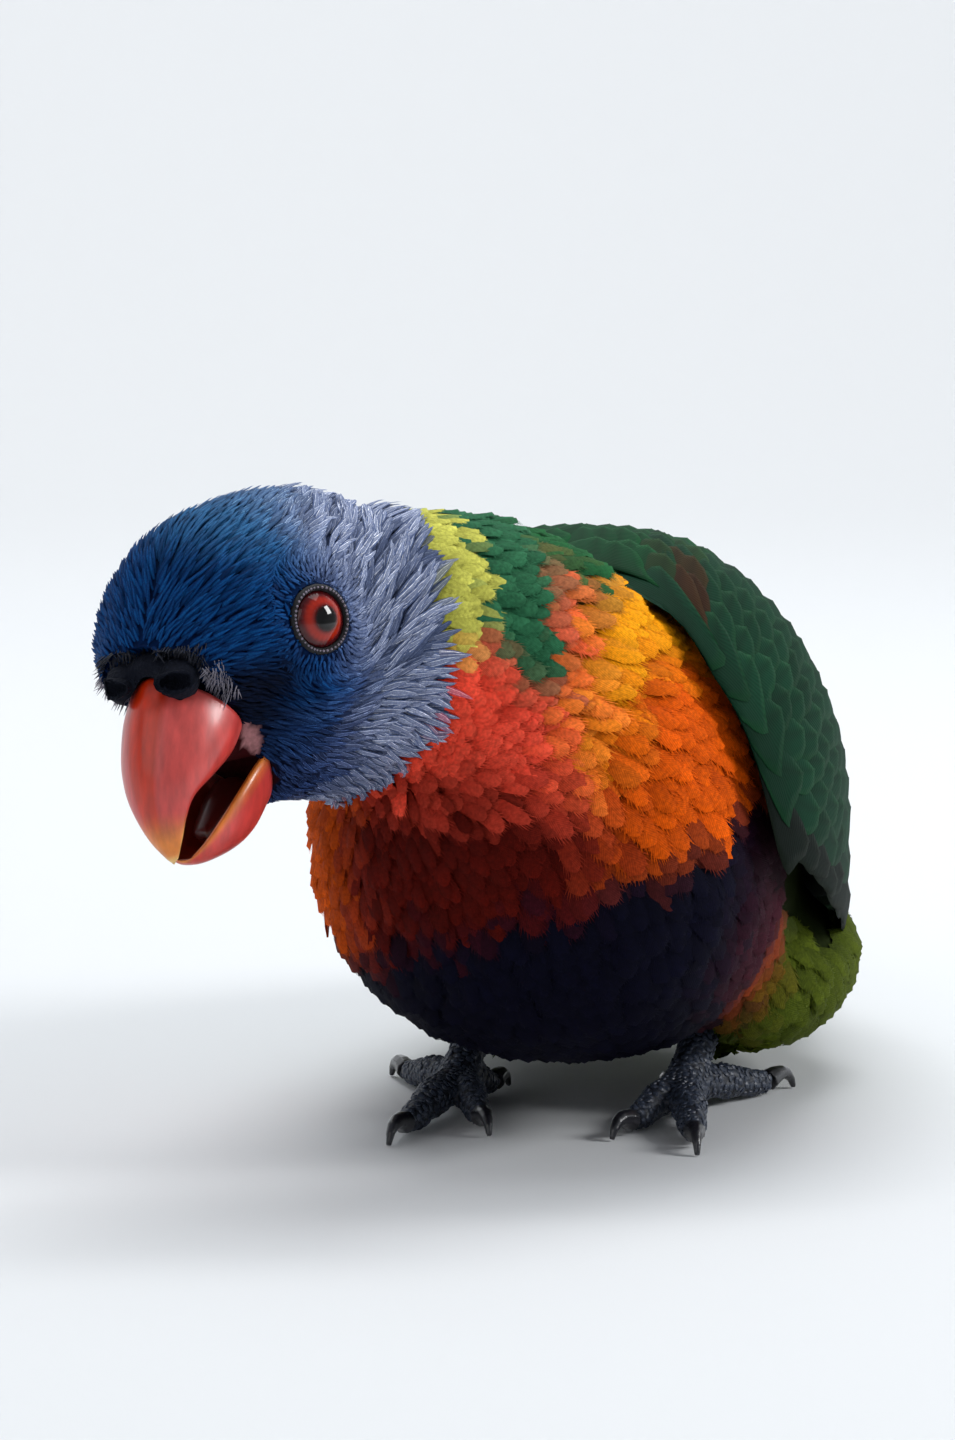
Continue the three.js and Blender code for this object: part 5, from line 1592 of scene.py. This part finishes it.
turn = Matrix([right, above, toward]).transposed().to_4x4()
camera.matrix_world = Matrix.Translation(Vector(metres(CAMERA_PLACE))) @ turn
bpy.context.scene.camera = camera

# The bowl's rings, in metres out from the middle and up
curve = np.linspace(0, math.pi / 2, BOWL_STEPS)
bowl_out = BOWL_FLAT + BOWL_CURVE * np.sin(curve)
floor_out = np.concatenate([[BOWL_FLAT / 2], bowl_out, [BOWL_FLAT + BOWL_CURVE]])
floor_up = np.concatenate([[0.0], BOWL_CURVE * (1 - np.cos(curve)), [BOWL_RIM]])
around = np.linspace(0, 2 * math.pi, BOWL_SIDES, endpoint=False)
floor_points = [(0.0, 0.0, 0.0)]
for out, up_by in zip(floor_out, floor_up):
    floor_points += [(out * math.cos(a), out * math.sin(a), up_by) for a in around]
floor_faces = [(0, 1 + j, 1 + (j + 1) % BOWL_SIDES) for j in range(BOWL_SIDES)]
floor_faces += (ring_faces(len(floor_out), BOWL_SIDES)[:, [0, 3, 2, 1]] + 1).tolist()
floor_mesh = bpy.data.meshes.new("floor")
floor_mesh.from_pydata(floor_points, [], floor_faces)
shade_smooth(floor_mesh)
floor = linked("floor", floor_mesh)
# Matt coated paper, so the bird's shadow is soft and nothing mirrors in it
paper, _, _ = plain_material("pale_backdrop_paper", "#d2d4d6", Roughness=0.9)
floor_mesh.materials.append(paper)

world = bpy.data.worlds.new("studio")
world.use_nodes = True
world.node_tree.nodes["Background"].inputs["Color"].default_value = (*linear("#e6ecf4"), 1)
world.node_tree.nodes["Background"].inputs["Strength"].default_value = 0.36
bpy.context.scene.world = world


def soft_light(name, place_mm, aim_mm, width_m, height_m, watts, colour):
    data = bpy.data.lights.new(name, "AREA")
    data.shape = "RECTANGLE"
    data.size = width_m
    data.size_y = height_m
    data.energy = watts
    data.color = colour
    obj = linked(name, data)
    at, aim = Vector(metres(np.array(place_mm))), Vector(metres(np.array(aim_mm)))
    facing = (at - aim).to_track_quat("Z", "Y").to_matrix().to_4x4()
    obj.matrix_world = Matrix.Translation(at) @ facing


BIRD_MIDDLE, PAPER_BEHIND = (0.0, -20.0, 45.0), (-700.0, 2300.0, 500.0)
WHITE, COOL, WARM = (1.0, 1.0, 1.0), (0.94, 0.98, 1.0), (1.0, 0.98, 0.96)
soft_light("window_light", (860.0, 120.0, 520.0), BIRD_MIDDLE, 0.26, 0.38, 6.0, WHITE)
soft_light("top_light", (-60.0, 200.0, 950.0), BIRD_MIDDLE, 0.9, 0.9, 4.8, COOL)
soft_light("front_fill", (-260.0, -900.0, 420.0), BIRD_MIDDLE, 0.7, 0.7, 1.3, WARM)
soft_light("backdrop_light", (-300.0, 900.0, 2400.0), PAPER_BEHIND, 2.0, 1.0, 52.0, WHITE)
bpy.context.scene.view_settings.view_transform = "Standard"
